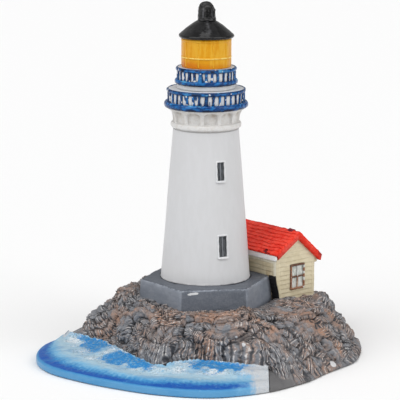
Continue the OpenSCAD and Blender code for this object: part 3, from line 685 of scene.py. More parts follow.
@dataclass(frozen=True)
class BrushedPaint(Finish):
    """Matt or satin paint with strokes, a wash, rubbed edges and dabs, by the marks of these names; on some
    pieces the wash paints shade, the edge mark paints highlights and a dab paints a shadow.
    """

    stroke: Colour
    wash: Colour
    edge: Colour
    dab: Colour = (0.62, 0.63, 0.64)
    share: float = 0.6
    size: float = 1.2
    stretch: tuple[float, float, float] = (1.0, 1.0, 1.0)
    rough: float = 0.45
    coat: float = 0.0
    relief: float = 0.03
    shine: float = 0.2

    def mixed(self, kit: Kit) -> bpy.types.Material:
        """Strokes over the main colour, then the wash, the rubbed edges and the dabs, which on some pieces
        are painted shade, painted highlights and a painted shadow.

        Args:
            kit: The material's nodes.

        Returns:
            The material.
        """
        strokes = kit.grain(self.size, 3.0, self.stretch, 0.4)
        broad = kit.grain(self.size * 6)
        fine = kit.grain(0.6, 3.0)
        wash, dab = kit.mark("wash"), kit.mark("dab")
        base = kit.layers(
            self.colour,
            (self.stroke, (strokes + 0.5 * (broad - 0.5)).step(0.4, 0.6) * self.share),
            (self.wash, (wash + 0.6 * (fine - 0.5) * wash).step(0.1, 0.95)),
            (self.edge, (kit.mark("edge") + 0.8 * (kit.grain(1.1, 3.0) - 0.5)).step(0.45, 0.8)),
            (self.dab, (dab + 0.7 * (fine - 0.5) * dab.step(0.0, 0.1)).step(0.35, 0.6)))
        return kit.finish(base, self.rough - 0.08 + 0.16 * strokes, 0.6 * strokes + 0.4 * fine, self.relief,
                          coat=self.coat, shine=self.shine)


@dataclass(frozen=True)
class FeltCloth(Finish):
    """Short matted fibres."""

    def mixed(self, kit: Kit) -> bpy.types.Material:
        """Fine fibres lighter than the ground."""
        fibre = kit.grain(0.25, 3.0, (1, 4, 1), 2.0)
        base = kit.layers(self.colour, (tuple(1.8 * c for c in self.colour), fibre.step(0.4, 0.7)))
        return kit.finish(base, 0.95, fibre, 0.1, sheen=0.4, shine=0.2)


class Paint(Enum):
    """The figurine's paints: name, slot, main colour, strokes, wash and rubbed edges; on some pieces the wash
    is painted shade and the edges painted highlights.
    """

    FELT = FeltCloth("felt", "felt", (0.02, 0.07, 0.035))
    STONE = StonePaint("stone", "rock", (0.115, 0.113, 0.118))
    SEA = SeaPaint("sea", "sea", (0.06, 0.26, 0.6))
    # Slate: its wash marks the grime round the tower and the wall's foot, and paints shade on the front face
    # and the deck.
    SLATE = BrushedPaint("slate", "slate", (0.192, 0.212, 0.25), (0.235, 0.255, 0.292), (0.027, 0.033, 0.045),
                         (0.3, 0.32, 0.36), share=0.7, size=1.6, stretch=(2.5, 2.5, 1), rough=0.42,
                         relief=0.06)
    # Tower white: its wash is painted shade under the window sills and ragged grey at the foot.
    TOWER = BrushedPaint("tower", "tower_white", (0.6, 0.6, 0.61), (0.575, 0.575, 0.58), (0.28, 0.28, 0.29),
                         (0.68, 0.68, 0.68), share=0.5, size=2.2, stretch=(1, 1, 4))
    # Drum white: its navy wash is blue paint smeared by the balusters and in drips, and painted shade under
    # the rails and above the rolls.
    DRUM = BrushedPaint("drum", "tower_white", (0.66, 0.66, 0.665), (0.5, 0.54, 0.6), (0.02, 0.07, 0.19),
                        (0.7, 0.7, 0.7), share=0.35, size=1.0, stretch=(1, 1, 2.5), rough=0.4, relief=0.05)
    TRIM = BrushedPaint("trim", "trim_white", (0.68, 0.68, 0.685), (0.52, 0.54, 0.57), (0.3, 0.31, 0.33),
                        (0.8, 0.8, 0.8), share=0.5, size=0.8)
    # The eave board: the trim's white made brighter, painted light against the shade under the eave.
    BOARD_LIT = BrushedPaint("eave_board", "trim_white", (0.88, 0.87, 0.87), (0.8, 0.79, 0.79), (0.6, 0.5, 0.48),
                         (0.92, 0.92, 0.92), size=0.9)
    PANE_DARK = BrushedPaint("tower_pane", "pane_grey", (0.035, 0.038, 0.042), (0.11, 0.12, 0.13),
                             (0.19, 0.2, 0.22), (0.3, 0.31, 0.33), size=0.7, stretch=(1, 1, 4), rough=0.35,
                             coat=0.1)
    # Corbel cream: its wash paints shade in the niches and marks dark joint lines; its edge paints light on
    # the brackets.
    CORBEL = BrushedPaint("corbel", "corbel_cream", (0.68, 0.672, 0.66), (0.6, 0.57, 0.535),
                          (0.4, 0.345, 0.29), (0.76, 0.76, 0.75), share=0.55, rough=0.5)
    # Gallery blue: its edge colour paints highlights on the rolls and the rail, its wash paints shade under
    # them and beside the bars, and both also mark patches of lighter and darker paint.
    BLUE = BrushedPaint("gallery", "gallery_blue", (0.002, 0.035, 0.15), (0.008, 0.15, 0.43),
                        (0.0015, 0.008, 0.035), (0.09, 0.34, 0.57), share=0.85, size=1.0,
                        stretch=(1.6, 1.6, 0.8), rough=0.28, coat=0.35, relief=0.08, shine=0.1)
    # Lantern yellow: its orange wash is painted shade, low down and on the left.
    LANTERN = BrushedPaint("lantern", "lantern_yellow", (0.66, 0.29, 0.004), (0.73, 0.4, 0.03),
                           (0.6, 0.18, 0.001), (0.8, 0.58, 0.14), share=0.8, size=1.3, stretch=(1, 1, 7),
                           rough=0.38, coat=0.1, relief=0.06, shine=0.15)
    GLAZING = BrushedPaint("glazing", "glazing_yellow", (0.7, 0.33, 0.01), (0.74, 0.42, 0.03),
                           (0.62, 0.26, 0.01), (0.82, 0.66, 0.2), size=0.9, rough=0.38, coat=0.1, shine=0.15)
    # Roof black: its edge colour paints highlights and its wash paints shade, on the roof and the finial.
    BLACK = BrushedPaint("roof_black", "roof_black", (0.004, 0.004, 0.0045), (0.014, 0.014, 0.015),
                         (0.001, 0.001, 0.0012), (0.075, 0.075, 0.08), share=0.7, size=1.4,
                         stretch=(1, 1, 2), rough=0.3, coat=0.6, relief=0.12, shine=0.05)
    # Cream: its wash also paints shade low on the near wall, and its near-black dab is the painted shadow
    # below the deck.
    CREAM = BrushedPaint("cream", "house_cream", (0.62, 0.545, 0.375), (0.69, 0.62, 0.45),
                         (0.45, 0.35, 0.2), (0.82, 0.78, 0.63), dab=(0.018, 0.018, 0.02), share=0.7, size=2.0,
                         stretch=(2, 2, 0.8), rough=0.5, relief=0.06)
    RED = BrushedPaint("roof_red", "roof_red", (0.76, 0.03, 0.014), (0.9, 0.075, 0.045), (0.28, 0.004, 0.004),
                       (0.9, 0.17, 0.11), dab=(0.13, 0.003, 0.006), share=0.75, size=1.3,
                       stretch=(1.6, 1.6, 0.8), rough=0.3, coat=0.15, relief=0.12, shine=0.1)
    MAROON = BrushedPaint("maroon", "vent_maroon", (0.16, 0.01, 0.02), (0.3, 0.03, 0.04),
                          (0.06, 0.004, 0.008), (0.42, 0.05, 0.05), share=0.2, rough=0.32, coat=0.2,
                          shine=0.1)
    BROWN = BrushedPaint("timber", "frame_brown", (0.2, 0.08, 0.045), (0.42, 0.23, 0.14),
                         (0.06, 0.035, 0.03), (0.58, 0.44, 0.34), dab=(0.62, 0.62, 0.6), share=0.8, size=0.6,
                         shine=0.15)
    PANE_PALE = BrushedPaint("cottage_pane", "pane_light", (0.74, 0.74, 0.7), (0.36, 0.41, 0.36),
                             (0.1, 0.1, 0.1), (0.68, 0.69, 0.67), size=0.8, stretch=(1, 1, 3), rough=0.35,
                             coat=0.1)


# The base


BASE_EDGE: Table = (
    (-180, 57), (-155, 56.5), (-130, 56), (-112, 56.5), (-100, 57.4), (-92, 59.4), (-84, 64.4),
    (-70, 69.7), (-58, 70.6), (-45, 68.4), (-30, 67.4), (-14, 68.6), (2, 69.8), (12, 68.2), (21, 66.4),
    (30, 63.8), (40, 61.6), (50, 59.4), (60, 59.7), (70, 61.8), (84, 62), (96, 62.5), (115, 59.5),
    (140, 58), (180, 57))
CRAG_FOOT: Table = (
    (-180, 56.2), (-155, 55.7), (-130, 54.9), (-112, 54.5), (-100, 54.4), (-90, 54), (-80, 46),
    (-68, 41.5), (-56, 41), (-43, 43), (-31, 46.5), (-20, 50), (-13, 43), (-3, 38.7), (8, 41.5),
    (15, 47), (22, 54.5), (28, 61), (34, 61.2), (42, 59.8), (52, 58.4), (62, 59.2), (75, 61), (96, 61.8),
    (115, 58.8), (140, 57.2), (180, 56.2))
SEA_RIGHT = 21.0


def lay(az: Array, r: Number, z: Number) -> Array:
    """Points of the rock and the sea, as in the CAD source.

    Near the sea's right end the points of a column keep the x that it has at the base's edge, so that
    the end runs straight back: the azimuth is az + near (asin(edge sin(az) / r) - az).

    Args:
        az: Azimuths in degrees.
        r: Distances from the tower's axis.
        z: Heights.

    Returns:
        The points.
    """
    near = ease(1 - np.abs(az - SEA_RIGHT) / 14)
    s = curve(BASE_EDGE, az) * np.sin(np.radians(az)) / np.maximum(r, curve(CRAG_FOOT, az))
    return polar(az + near * (np.degrees(np.arcsin(np.clip(s, -0.9, 0.9))) - az), r, z)


@dataclass
class Felt:
    """The felt under the base: a flat sheet in a shallow recess."""

    thick: float = 0.6
    inset: float = 3.0

    def build(self) -> None:
        """Makes the sheet: rings at shares of the outline, below at z = 0 and above at z = thick."""
        az = circle(2.0)
        r = curve(BASE_EDGE, az) - self.inset
        shares = np.array([0.02, 0.5, 1.0, 1.0, 0.5, 0.02])[:, None]
        z = np.repeat([0.0, self.thick], 3)[:, None]
        shape = Shape()
        shape.grid(polar(az, shares * r, z))
        piece = shape.build("felt_sheet", Paint.FELT, "felt_pad")
        outline = polar(az, r, 0.0)[:, :2] * MM


@dataclass
class Rock:
    """The broken rock with its terrace, shelf and skirt."""

    bed: float = 19.0
    skirt: float = 4.4
    skirt_low: float = 2.0
    edge_z: float = 0.25
    felt_t: float = 0.6
    felt_inset: float = 2.8
    sea_top: float = 6.2
    sea_left: float = -92.0
    end_gap: float = 0.15
    depth: float = 2.9
    block_turn: float = 12.0
    block_rows: float = 3.0
    terrace_edge: Table = (
        (-180, 42), (-155, 39), (-130, 35.5), (-104, 34.4), (-90, 34), (-60, 34), (-35, 33.5),
        (-15, 32), (0, 31.5), (20, 34.5), (40, 40), (60, 44), (75, 46), (90, 46.8), (104, 46.4),
        (118, 45.5), (135, 46), (155, 47), (180, 42))
    terrace_rise: Table = (
        (-180, 2), (-130, 2.2), (-104, 2.4), (-80, 4.4), (-50, 4.8), (-30, 3.6), (0, 3), (18, 3.4),
        (32, 2.4), (60, 1.4), (80, 1), (100, 0.8), (150, 1.4), (180, 2))
    bulge: Table = (
        (-180, 1.2), (-130, 1.2), (-104, 1.15), (-85, 1.05), (-60, 1.1), (-35, 1.5), (0, 1.5),
        (18, 1.7), (30, 2.3), (45, 2.2), (60, 1.7), (76, 1.2), (96, 1.1), (120, 1.2), (180, 1.2))
    shelf: tuple[float, float, float, float] = (-95.0, 14.0, 5.5, 3.0)
    boulders: Table = (
        (-30, -3, 5.5, 3), (-31, -14, 4.5, 1.6), (-24, -23, 4, 1.5), (17, -29, 5.5, 2.4),
        (47.3, 1, 4.5, 3.4), (30, -16, 5, 1.4), (32, -3.5, 6.5, 1.6), (-20, 30, 6, 1.2),
        (-30.5, 15, 5, 2.2), (38, 28, 4, 1.2), (2, 45, 5, 1.4))
    spots: Table = ((11.8, -38.6, 15.2, 0.8), (14.4, -41.3, 12.8, 0.9), (48.9, -30.5, 2.2, 1.7))
    columns: int = 740
    slope_rows: int = 92
    terrace_rows: int = 30
    terrace_reach: float = 0.45
    stroke_pitch: float = 1.6
    relief_out: float = 0.75
    relief_up: float = 0.6
    girth_r: float = 50.0
    slope_mm: float = 26.0
    dab_proud: float = 0.35

    def in_sea(self, az: Array) -> Array:
        """Whether an azimuth lies behind the sea."""
        return (az > self.sea_left) & (az < SEA_RIGHT)

    def blocks(self, az: Array, t: Number, finer: int = 1) -> tuple[Array, Array, Array, Array]:
        """Rounded blocks, in cells of block_turn degrees by 1 / block_rows of the way up, or finer.

        The level is 0.9 tilt + 0.7 (sqrt(1 - (d1 / 0.95)^2) - 0.6) - 0.45 (1 - ease((d2 - d1) / 0.22)),
        with d1 and d2 the distances to the nearest two seeds and tilt the block's own number less 0.5
        and less 0.9 times the offset along its lean.

        Args:
            az: Azimuths in degrees.
            t: Shares of the way up.
            finer: How many times smaller the blocks are than the large ones.

        Returns:
            The level, about -1 to 1, each block's own number, how deep in a groove a point lies, and
            the height of its dome.
        """
        around = round(360 * finer / self.block_turn)
        p = np.stack([az * around / 360 + 0.3 * np.sin(np.radians(7 * az + 200 * t)),
                      t * self.block_rows * finer + 0.3 * np.sin(np.radians(11 * az))], -1)
        base = np.floor(p)
        d1, d2 = np.full((2, *az.shape), 9.0)
        tilt, mark = np.zeros((2, *az.shape))
        for step in np.ndindex(3, 3):
            i, j = base[..., 0] + step[0] - 1, base[..., 1] + step[1] - 1
            a = np.mod(i, around)
            ox = p[..., 0] - (i + 0.15 + 0.7 * grit(a, j, 1))
            oy = p[..., 1] - (j + 0.15 + 0.7 * grit(a, j, 2))
            lean = ox * (grit(a, j, 4) - 0.5) + oy * (grit(a, j, 5) - 0.3)
            level = grit(a, j, 3) - 0.5 - 0.9 * lean
            d = np.hypot(ox, oy)
            closer = d < d1
            d2 = np.where(closer, d1, np.minimum(d2, d))
            tilt = np.where(closer, level, tilt)
            mark = np.where(closer, grit(a, j, 6), mark)
            d1 = np.where(closer, d, d1)
        groove = 1 - ease((d2 - d1) / 0.22)
        dome = np.sqrt(held(1 - (d1 / 0.95) ** 2)) - 0.6
        return 0.9 * tilt + 0.7 * dome - 0.45 * groove, mark, groove, dome

    def crag(self, az: Array, t: Number) -> Array:
        """The rock's level: the large blocks with a quarter of the small ones on them."""
        return self.depth * (self.blocks(az, t)[0] + 0.25 * self.blocks(az, t, 2)[0])

    def boulder(self, p: Array) -> Array:
        """The boulders' height: the sum of h sqrt(1 - d^2) within each boulder's radius."""
        return sum(h * np.sqrt(held(1 - (np.hypot(p[..., 0] - x, p[..., 1] - y) / r) ** 2))
                   for x, y, r, h in self.boulders)

    def forms(self, az: Array) -> tuple[Array, Array, Array]:
        """The rock's main forms, as in the CAD source, on a finer grid.

        The slope runs from foot to terrace: r is a straight mix, and z is
        low + rise (1 - (1 - t)^bulge), both moved by the blocks' level.

        Args:
            az: The columns' azimuths.

        Returns:
            The grid of points, each row's place (below 0 under the rock, 0 to 1 up the slope, 1 to 2
            over the terrace) and the blocks' share of the way up.
        """
        sea = self.in_sea(az)
        share = ease(1 - np.abs(az - self.shelf[0]) / self.shelf[1])
        skirt = blend(self.skirt, self.skirt_low, np.where(az > 0, ease((az - SEA_RIGHT) / 8), 1.0))
        foot = curve(CRAG_FOOT, az) - np.where(sea, 0, 0.4)
        foot_z = np.where(sea, self.sea_top - 0.7, skirt + 0.25 * np.sin(np.radians(5 * az)) + 0.25)
        edge, far = curve(BASE_EDGE, az), curve(self.terrace_edge, az)
        rim = np.where(sea, curve(CRAG_FOOT, az), edge)
        room = np.where(sea, rim - 1, edge - self.felt_inset)
        under = np.where(sea, self.felt_t, self.edge_z)
        top = np.where(sea, self.sea_top - 1.5, skirt - 1.2)
        rows = [lay(az, room, self.felt_t), lay(az, room + 0.15, under),
                lay(az, rim - 0.25, under), lay(az, rim, under + 0.3)]
        rows += [lay(az, rim, blend(under + 0.3, top, s)) for s in (0.5, 0.9)]
        rows += [lay(az, blend(rim - 0.3, foot - 0.2, s), blend(top, foot_z, s**0.7))
                 for s in (0.12, 0.45, 0.8, 1.0)]
        place = [-1 + k / 20 for k in range(len(rows))]
        level = [0.0] * len(rows)
        low = foot_z + self.shelf[3] * share
        high = self.bed + curve(self.terrace_rise, az)
        for t in np.linspace(0.012, 1, self.slope_rows):
            relief = self.crag(az, t) * ease(t / 0.12 + 0.1)
            r = blend(foot - 0.5 - self.shelf[2] * share, far, t) + self.relief_out * relief
            r = np.where(sea, r, np.minimum(r, edge + 0.1))
            z = low + (high - low) * (1 - (1 - t) ** curve(self.bulge, az))
            z = z + self.relief_up * relief * ease(t / 0.2)
            rows.append(lay(az, r, np.maximum(foot_z + 0.1, z)))
            rows[-1][..., 2] += self.boulder(rows[-1]) * t
            place.append(t)
            level.append(t)
        for d in np.linspace(0, self.terrace_reach, self.terrace_rows + 1)[1:]:
            relief = self.crag(az, 1 + 2 * d) * (1 - 1.8 * d)
            p = lay(az, far * (1 - d) + self.relief_out * relief * (1 - 2.2 * d), 0.0)
            z = self.bed + curve(self.terrace_rise, az) * (1 - 0.67 * d) + self.relief_up * relief
            p[..., 2] = np.maximum(self.bed + 0.6, z) + self.boulder(p)
            rows.append(p)
            place.append(1 + d / self.terrace_reach)
            level.append(1 + 2 * d)
        points = np.stack(rows)
        place, level = (np.array(v)[:, None] + 0 * az for v in (place, level))
        return points, place, level

    def carving(self, p: Array, az: Array, level: Array) -> tuple[Array, dict[str, Array]]:
        """Chips and carved strokes on the blocks.

        Chips are blocks a quarter as large, and the large blocks' grooves and domes are partly filled
        and worn. Each small block's strokes run along its own direction f: q = u sin f + v cos f, with
        u and v the distances round and up the slope in millimetres, and the cut is
        (1 + cos(2 pi q / pitch)) / 2. Beside the shore all strokes run upright. A stroke is also bent by
        noise.

        Args:
            p: The grid of points.
            az: The grid's azimuths.
            level: The blocks' share of the way up.

        Returns:
            The rise in millimetres, and the marks: the painting height from 0 to 1, the tint, the
            stroke coordinate and how much of it shows.
        """
        large, _, groove, dome = self.blocks(az, level)
        _, mark, groove_b, _ = self.blocks(az, level, 2)
        chip, chip_mark, seam, swell = self.blocks(az, level + 0.22 * noise(p, 5, 18), 4)
        beside = np.where(az > 0, 1 - ease((az - 30) / 8), ease((az + 34) / 8))
        shore = beside * ease((0.5 - level) / 0.2)
        facet = chip + 0.45 * seam - 0.55 * swell
        own = np.where(az < -38, 110 * (mark - 0.5), mark * 170 + 5)
        turn = np.radians(blend(own, 90.0 + 14 * (mark - 0.5), shore))
        bend = 0.45 * noise(p, 6.5, 12) + 0.14 * noise(p, 2.0, 13)
        size = 0.8 + 0.5 * np.mod(7 * mark, 1) * (1 - shore)
        q = np.radians(az) * self.girth_r * np.sin(turn) + level * self.slope_mm * np.cos(turn)
        q = q * size + bend * self.stroke_pitch
        some = np.maximum(0.25 + 0.75 * ease((noise(p, 5.5, 15) + 0.45) / 0.5), 0.8 * shore)
        cut = 0.22 * (0.5 + 0.5 * np.cos(2 * np.pi * q / self.stroke_pitch)) * some
        nick = held(noise(p, (1.7, 1.7, 1.1), 16))
        fine = fractal(p, 0.9, 2, 20)
        rise = 0.75 * groove - 0.8 * dome + 0.7 * facet - 0.12 * groove_b - cut - 0.25 * nick + 0.1 * fine
        height = (0.62 + 0.12 * large - 0.16 * groove - 0.15 * groove_b + 0.26 * facet - 0.13 * seam
                  - cut - 0.2 * nick + 0.12 * fine)
        tint = (0.47 + 0.3 * (mark - 0.5) + 0.2 * (chip_mark - 0.5) + 0.3 * noise(p, 8, 22)
                + 0.22 * (np.minimum(level, 1) - 0.5) * ease((az + 60) / 40))
        return rise, {"height": held(height), "tint": tint, "stroke": q, "carved": some}

    def build(self) -> None:
        """Makes the rock, carved along its own normals."""
        az = np.arange(-180.0, 180.0, 360.0 / self.columns)
        ends = np.array([self.sea_left, SEA_RIGHT])
        az = az[np.all(np.abs(az[:, None] - ends) > 0.4, axis=1)]
        az = np.sort(np.concatenate([az, ends - self.end_gap, ends + self.end_gap]))
        p, place, level = self.forms(az)
        turn = az + 0 * place
        out = normals(p)
        rise, marks = self.carving(p, turn, level)
        front = ease((turn - 18) / 3) * (1 - ease((turn - 30) / 5))
        inland = np.where(self.in_sea(turn), 0, 1)
        near_end = np.min(np.abs(turn[..., None] - ends), axis=-1)
        banked = inland * (1 - front) * ease((place + 0.83) / 0.1)
        lie = np.where(place < 0, 0.8 * banked * ease(near_end / 1.5),
                       ease(place / 0.05 + 0.2) * (1 - 0.75 * ease((place - 1.55) / 0.3)))
        low = np.where(place < 0.3, ease(near_end / 1.2), 1.0)
        p = p + out * (rise * lie * low)[..., None]
        reach = np.maximum(np.hypot(p[..., 0], p[..., 1]), 1e-6)
        p[..., :2] *= np.minimum(1, (curve(BASE_EDGE, turn) + 0.25) / reach)[..., None]
        plain = (1 - ease((place + 0.02) / 0.05)) * inland * (0.1 + 0.9 * front)
        dab = np.max([bell(np.linalg.norm(p - s[:3], axis=-1), s[3], 4) for s in self.spots], axis=0)
        shape = Shape()
        shape.grid(p + out * (self.dab_proud * dab * (place > 0))[..., None], dab=dab, skirt=plain, **marks)
        shape.build("rock", Paint.STONE, "rock_base")


@dataclass
class Sea:
    """The strip of sea in front of the rock, with a rolled lip."""

    lip_z: float = 3.2
    top_z: float = 6.2
    edge_z: float = 0.25
    felt_t: float = 0.6
    felt_inset: float = 2.8
    lip: float = 0.9
    left: float = -91.85
    right: float = SEA_RIGHT - 0.15
    rows: int = 84
    under_rock: float = 2.6
    step: float = 0.35
    swell: float = 0.35
    patches: Table = ((-72, 13, 0.66), (-37, 16, 0.56), (9, 17, 0.6))
    bare: tuple[float, float] = (-15.8, -46.4)

    def forms(self, az: Array) -> tuple[Array, Array]:
        """The sea's plain form: one closed section at every azimuth.

        On top r is the mix from the lip to the rock and z = lip + (top - lip) s^0.8, with long swells
        0.35 sin(620 s + 2 az + 40 sin 3 az).

        Args:
            az: The sections' azimuths.

        Returns:
            The grid of points, one row round each section, and each point's share of the way from
            the foot of the lip to the rock.
        """
        out, inn = curve(BASE_EDGE, az), curve(CRAG_FOOT, az)
        room = out - self.felt_inset
        rows = [lay(az, room, self.felt_t), lay(az, room, self.edge_z),
                lay(az, out - 0.5, self.edge_z), lay(az, out - 0.1, self.edge_z + 0.2)]
        rows += [lay(az, out, z) for z in (0.9, 1.3, 1.7, 2.1)]
        rows += [lay(az, out - self.lip * (1 - math.cos(a)), 2.3 + self.lip * math.sin(a))
                 for a in np.radians([15, 30, 45, 60, 75])]
        foot = 0.045
        shore = [foot * k / len(rows) for k in range(len(rows))]
        for s in np.linspace(0, 1, self.rows):
            roll = np.sin(np.radians(620 * s + 2 * az + 40 * np.sin(np.radians(3 * az)))) * ease(4 * s)
            z = blend(self.lip_z, self.top_z, s**0.8) + self.swell * roll
            rows.append(lay(az, blend(out - self.lip, inn, s), z))
            shore.append(foot + (1 - foot) * s)
        rows += [lay(az, inn - self.under_rock, z) for z in (self.top_z - 0.8, self.felt_t)]
        return np.stack(rows, axis=1), np.array(shore + [1.0, 1.0]) + 0 * az[:, None]

    def build(self) -> None:
        """Makes the sea, with ripples, grainy foam and azure patches."""
        az = np.arange(self.left, self.right + 0.2, self.step)
        az[-1] = self.right
        p, s = self.forms(az)
        turn = az[:, None] + 0 * s
        wash = ease((s + 0.05 * noise(p, 2.2, 4) - 0.95) / 0.03)
        surf = ease((s - 0.36) / 0.25) * (0.7 + 0.7 * noise(p, (5, 3, 3), 3))
        azure = np.zeros(s.shape)
        for middle, half, near in self.patches:
            across = ease((half + 2 + 2 * noise(p, 3, 5) - np.abs(turn - middle)) / 8)
            along = (ease((s - near + 0.04 - 0.16 * noise(p, 3, 7)) / 0.18)
                     * ease((0.975 - s + 0.03 * noise(p, 1.5, 14)) / 0.04 + 0.5))
            azure = np.maximum(azure, across * along)
        foam = held(np.maximum(surf, wash)) * (0.92 + 0.3 * noise(p, (7, 3.5, 3.5), 12))
        white = np.maximum(ease((turn - 8 + 2.5 * noise(p, 4, 10)) / 11),
                           0.8 * ease((-86 - turn) / 4) * ease((s - 0.35) / 0.25))
        rough = 0.3 * np.abs(noise(p, 1.1, 8)) + 0.18 * np.abs(noise(p, 0.55, 9))
        crest = wash * (0.3 + 0.6 * np.abs(noise(p, 1.5, 11)))
        top = ease((s - 0.05) / 0.05) * (s < 0.9999)
        p[..., 2] += top * (0.14 * fractal(p, 2.6, 3, 6) + foam * rough * (1 - 0.6 * azure) + crest)
        bare = bell(p[..., 0] - self.bare[0], 1.4, 4) * bell(p[..., 1] - self.bare[1], 1.3, 4)
        shape = Shape()
        shape.grid(p, bare=bare, shore=s, foam=foam, azure=azure, white=white, along=np.radians(turn) * 60)
        shape.build("sea", Paint.SEA, "sea_apron")


# The plinth and the tower


@dataclass
class Plinth:
    """The six-sided plinth, painted slate, with rubbed edges."""

    radius: float = 26.0
    batter: float = 1.0
    turn: float = 38.2
    front: float = 1.7
    foot_z: float = 19.1
    deck_z: float = 30.0
    chamfer: float = 0.7
    sharp: float = 90.0
    grime_r: float = 18.4

    def profile(self) -> Array:
        """The profile from under the foot up the wall, round the softened edge and in over the deck.

        Returns:
            Rows of radius and height.
        """
        wall = np.linspace(self.foot_z, self.deck_z - self.chamfer, 26)
        wide = self.radius + self.batter * (1 - (wall - self.foot_z) / (self.deck_z - self.foot_z))
        bend = [(self.radius - self.chamfer * 1.15 * s**1.2, self.deck_z - self.chamfer * (1 - s) ** 1.1)
                for s in np.sin(np.radians([22.5, 45, 67.5, 90]))]
        deck = [(r, self.deck_z) for r in np.linspace(self.radius - 1.4, 12, 42)]
        return np.array([(0.6 * wide[0], self.foot_z), *zip(wide, wall), *bend, *deck])

    def build(self) -> None:
        """Makes the plinth, its front face and its deck darkened with painted shade, with grime round the
        tower's foot.

        The outline is r = a / (sum of max(0, cos(az - face))^p)^(1/p) over the six faces, a hexagon of
        inner radius a whose corners are softened by the power p.
        """
        turn, r, z, _ = turned(self.profile(), 0.75)
        faces = self.turn + 30 + 60 * np.arange(6)
        face = np.maximum(0, np.cos(np.radians(turn[:1].T - faces)))
        unit = math.cos(math.radians(30)) / np.sum(face**self.sharp, axis=1) ** (1 / self.sharp)
        p = polar(turn, blend(r * 0.93, r * unit, ease((r - 15) / 8)), z)
        p[..., 1] -= self.front
        side = r > self.radius - 2
        edge = held(np.maximum(bell(z - self.deck_z + 0.35, 0.45) * side,
                               0.8 * ease((unit - 0.965) / 0.03) * (z < self.deck_z - 0.1) * side))
        chips = held(fractal(p, 2.2, 3, 31) - 0.35) * edge
        p = p + normals(p) * (0.14 * fractal(p, 6, 3, 32) - 0.9 * chips)[..., None]
        p[..., 2] = np.minimum(p[..., 2], self.deck_z + 0.05)
        x, y, z = np.moveaxis(p, -1, 0)
        on_deck = z > self.deck_z - 0.4
        ragged = self.grime_r + 0.4 * noise(p, 1.4, 33) + 0.9 * bell(turn + 43, 2.5)
        grime = ease((ragged - np.hypot(x, y)) / 0.35) * on_deck
        foot = 0.6 * ease((self.foot_z + 3.6 - z) / 3.0)
        # Painted shade on the front face, below the deck's edge.
        front = 0.5 * ease((30 - np.abs(turn - self.turn + 30)) / 1.5) * (z < self.deck_z - 0.5) * side
        chip = bell(x + 4.8, 2.3, 4) * bell(z - 29.0 - 0.08 * x, 0.36 - 0.03 * x) * (y < -20)
        shape = Shape()
        # The wash: grime round the tower's foot, the wall darker towards its foot, and painted shade on the
        # front face and over the deck.
        shape.grid(p, edge=0.62 * edge, wash=np.maximum.reduce([1.2 * grime, front + foot, 0.58 * on_deck]),
                   dab=chip)
        shape.build("plinth_block", Paint.SLATE, "plinth")


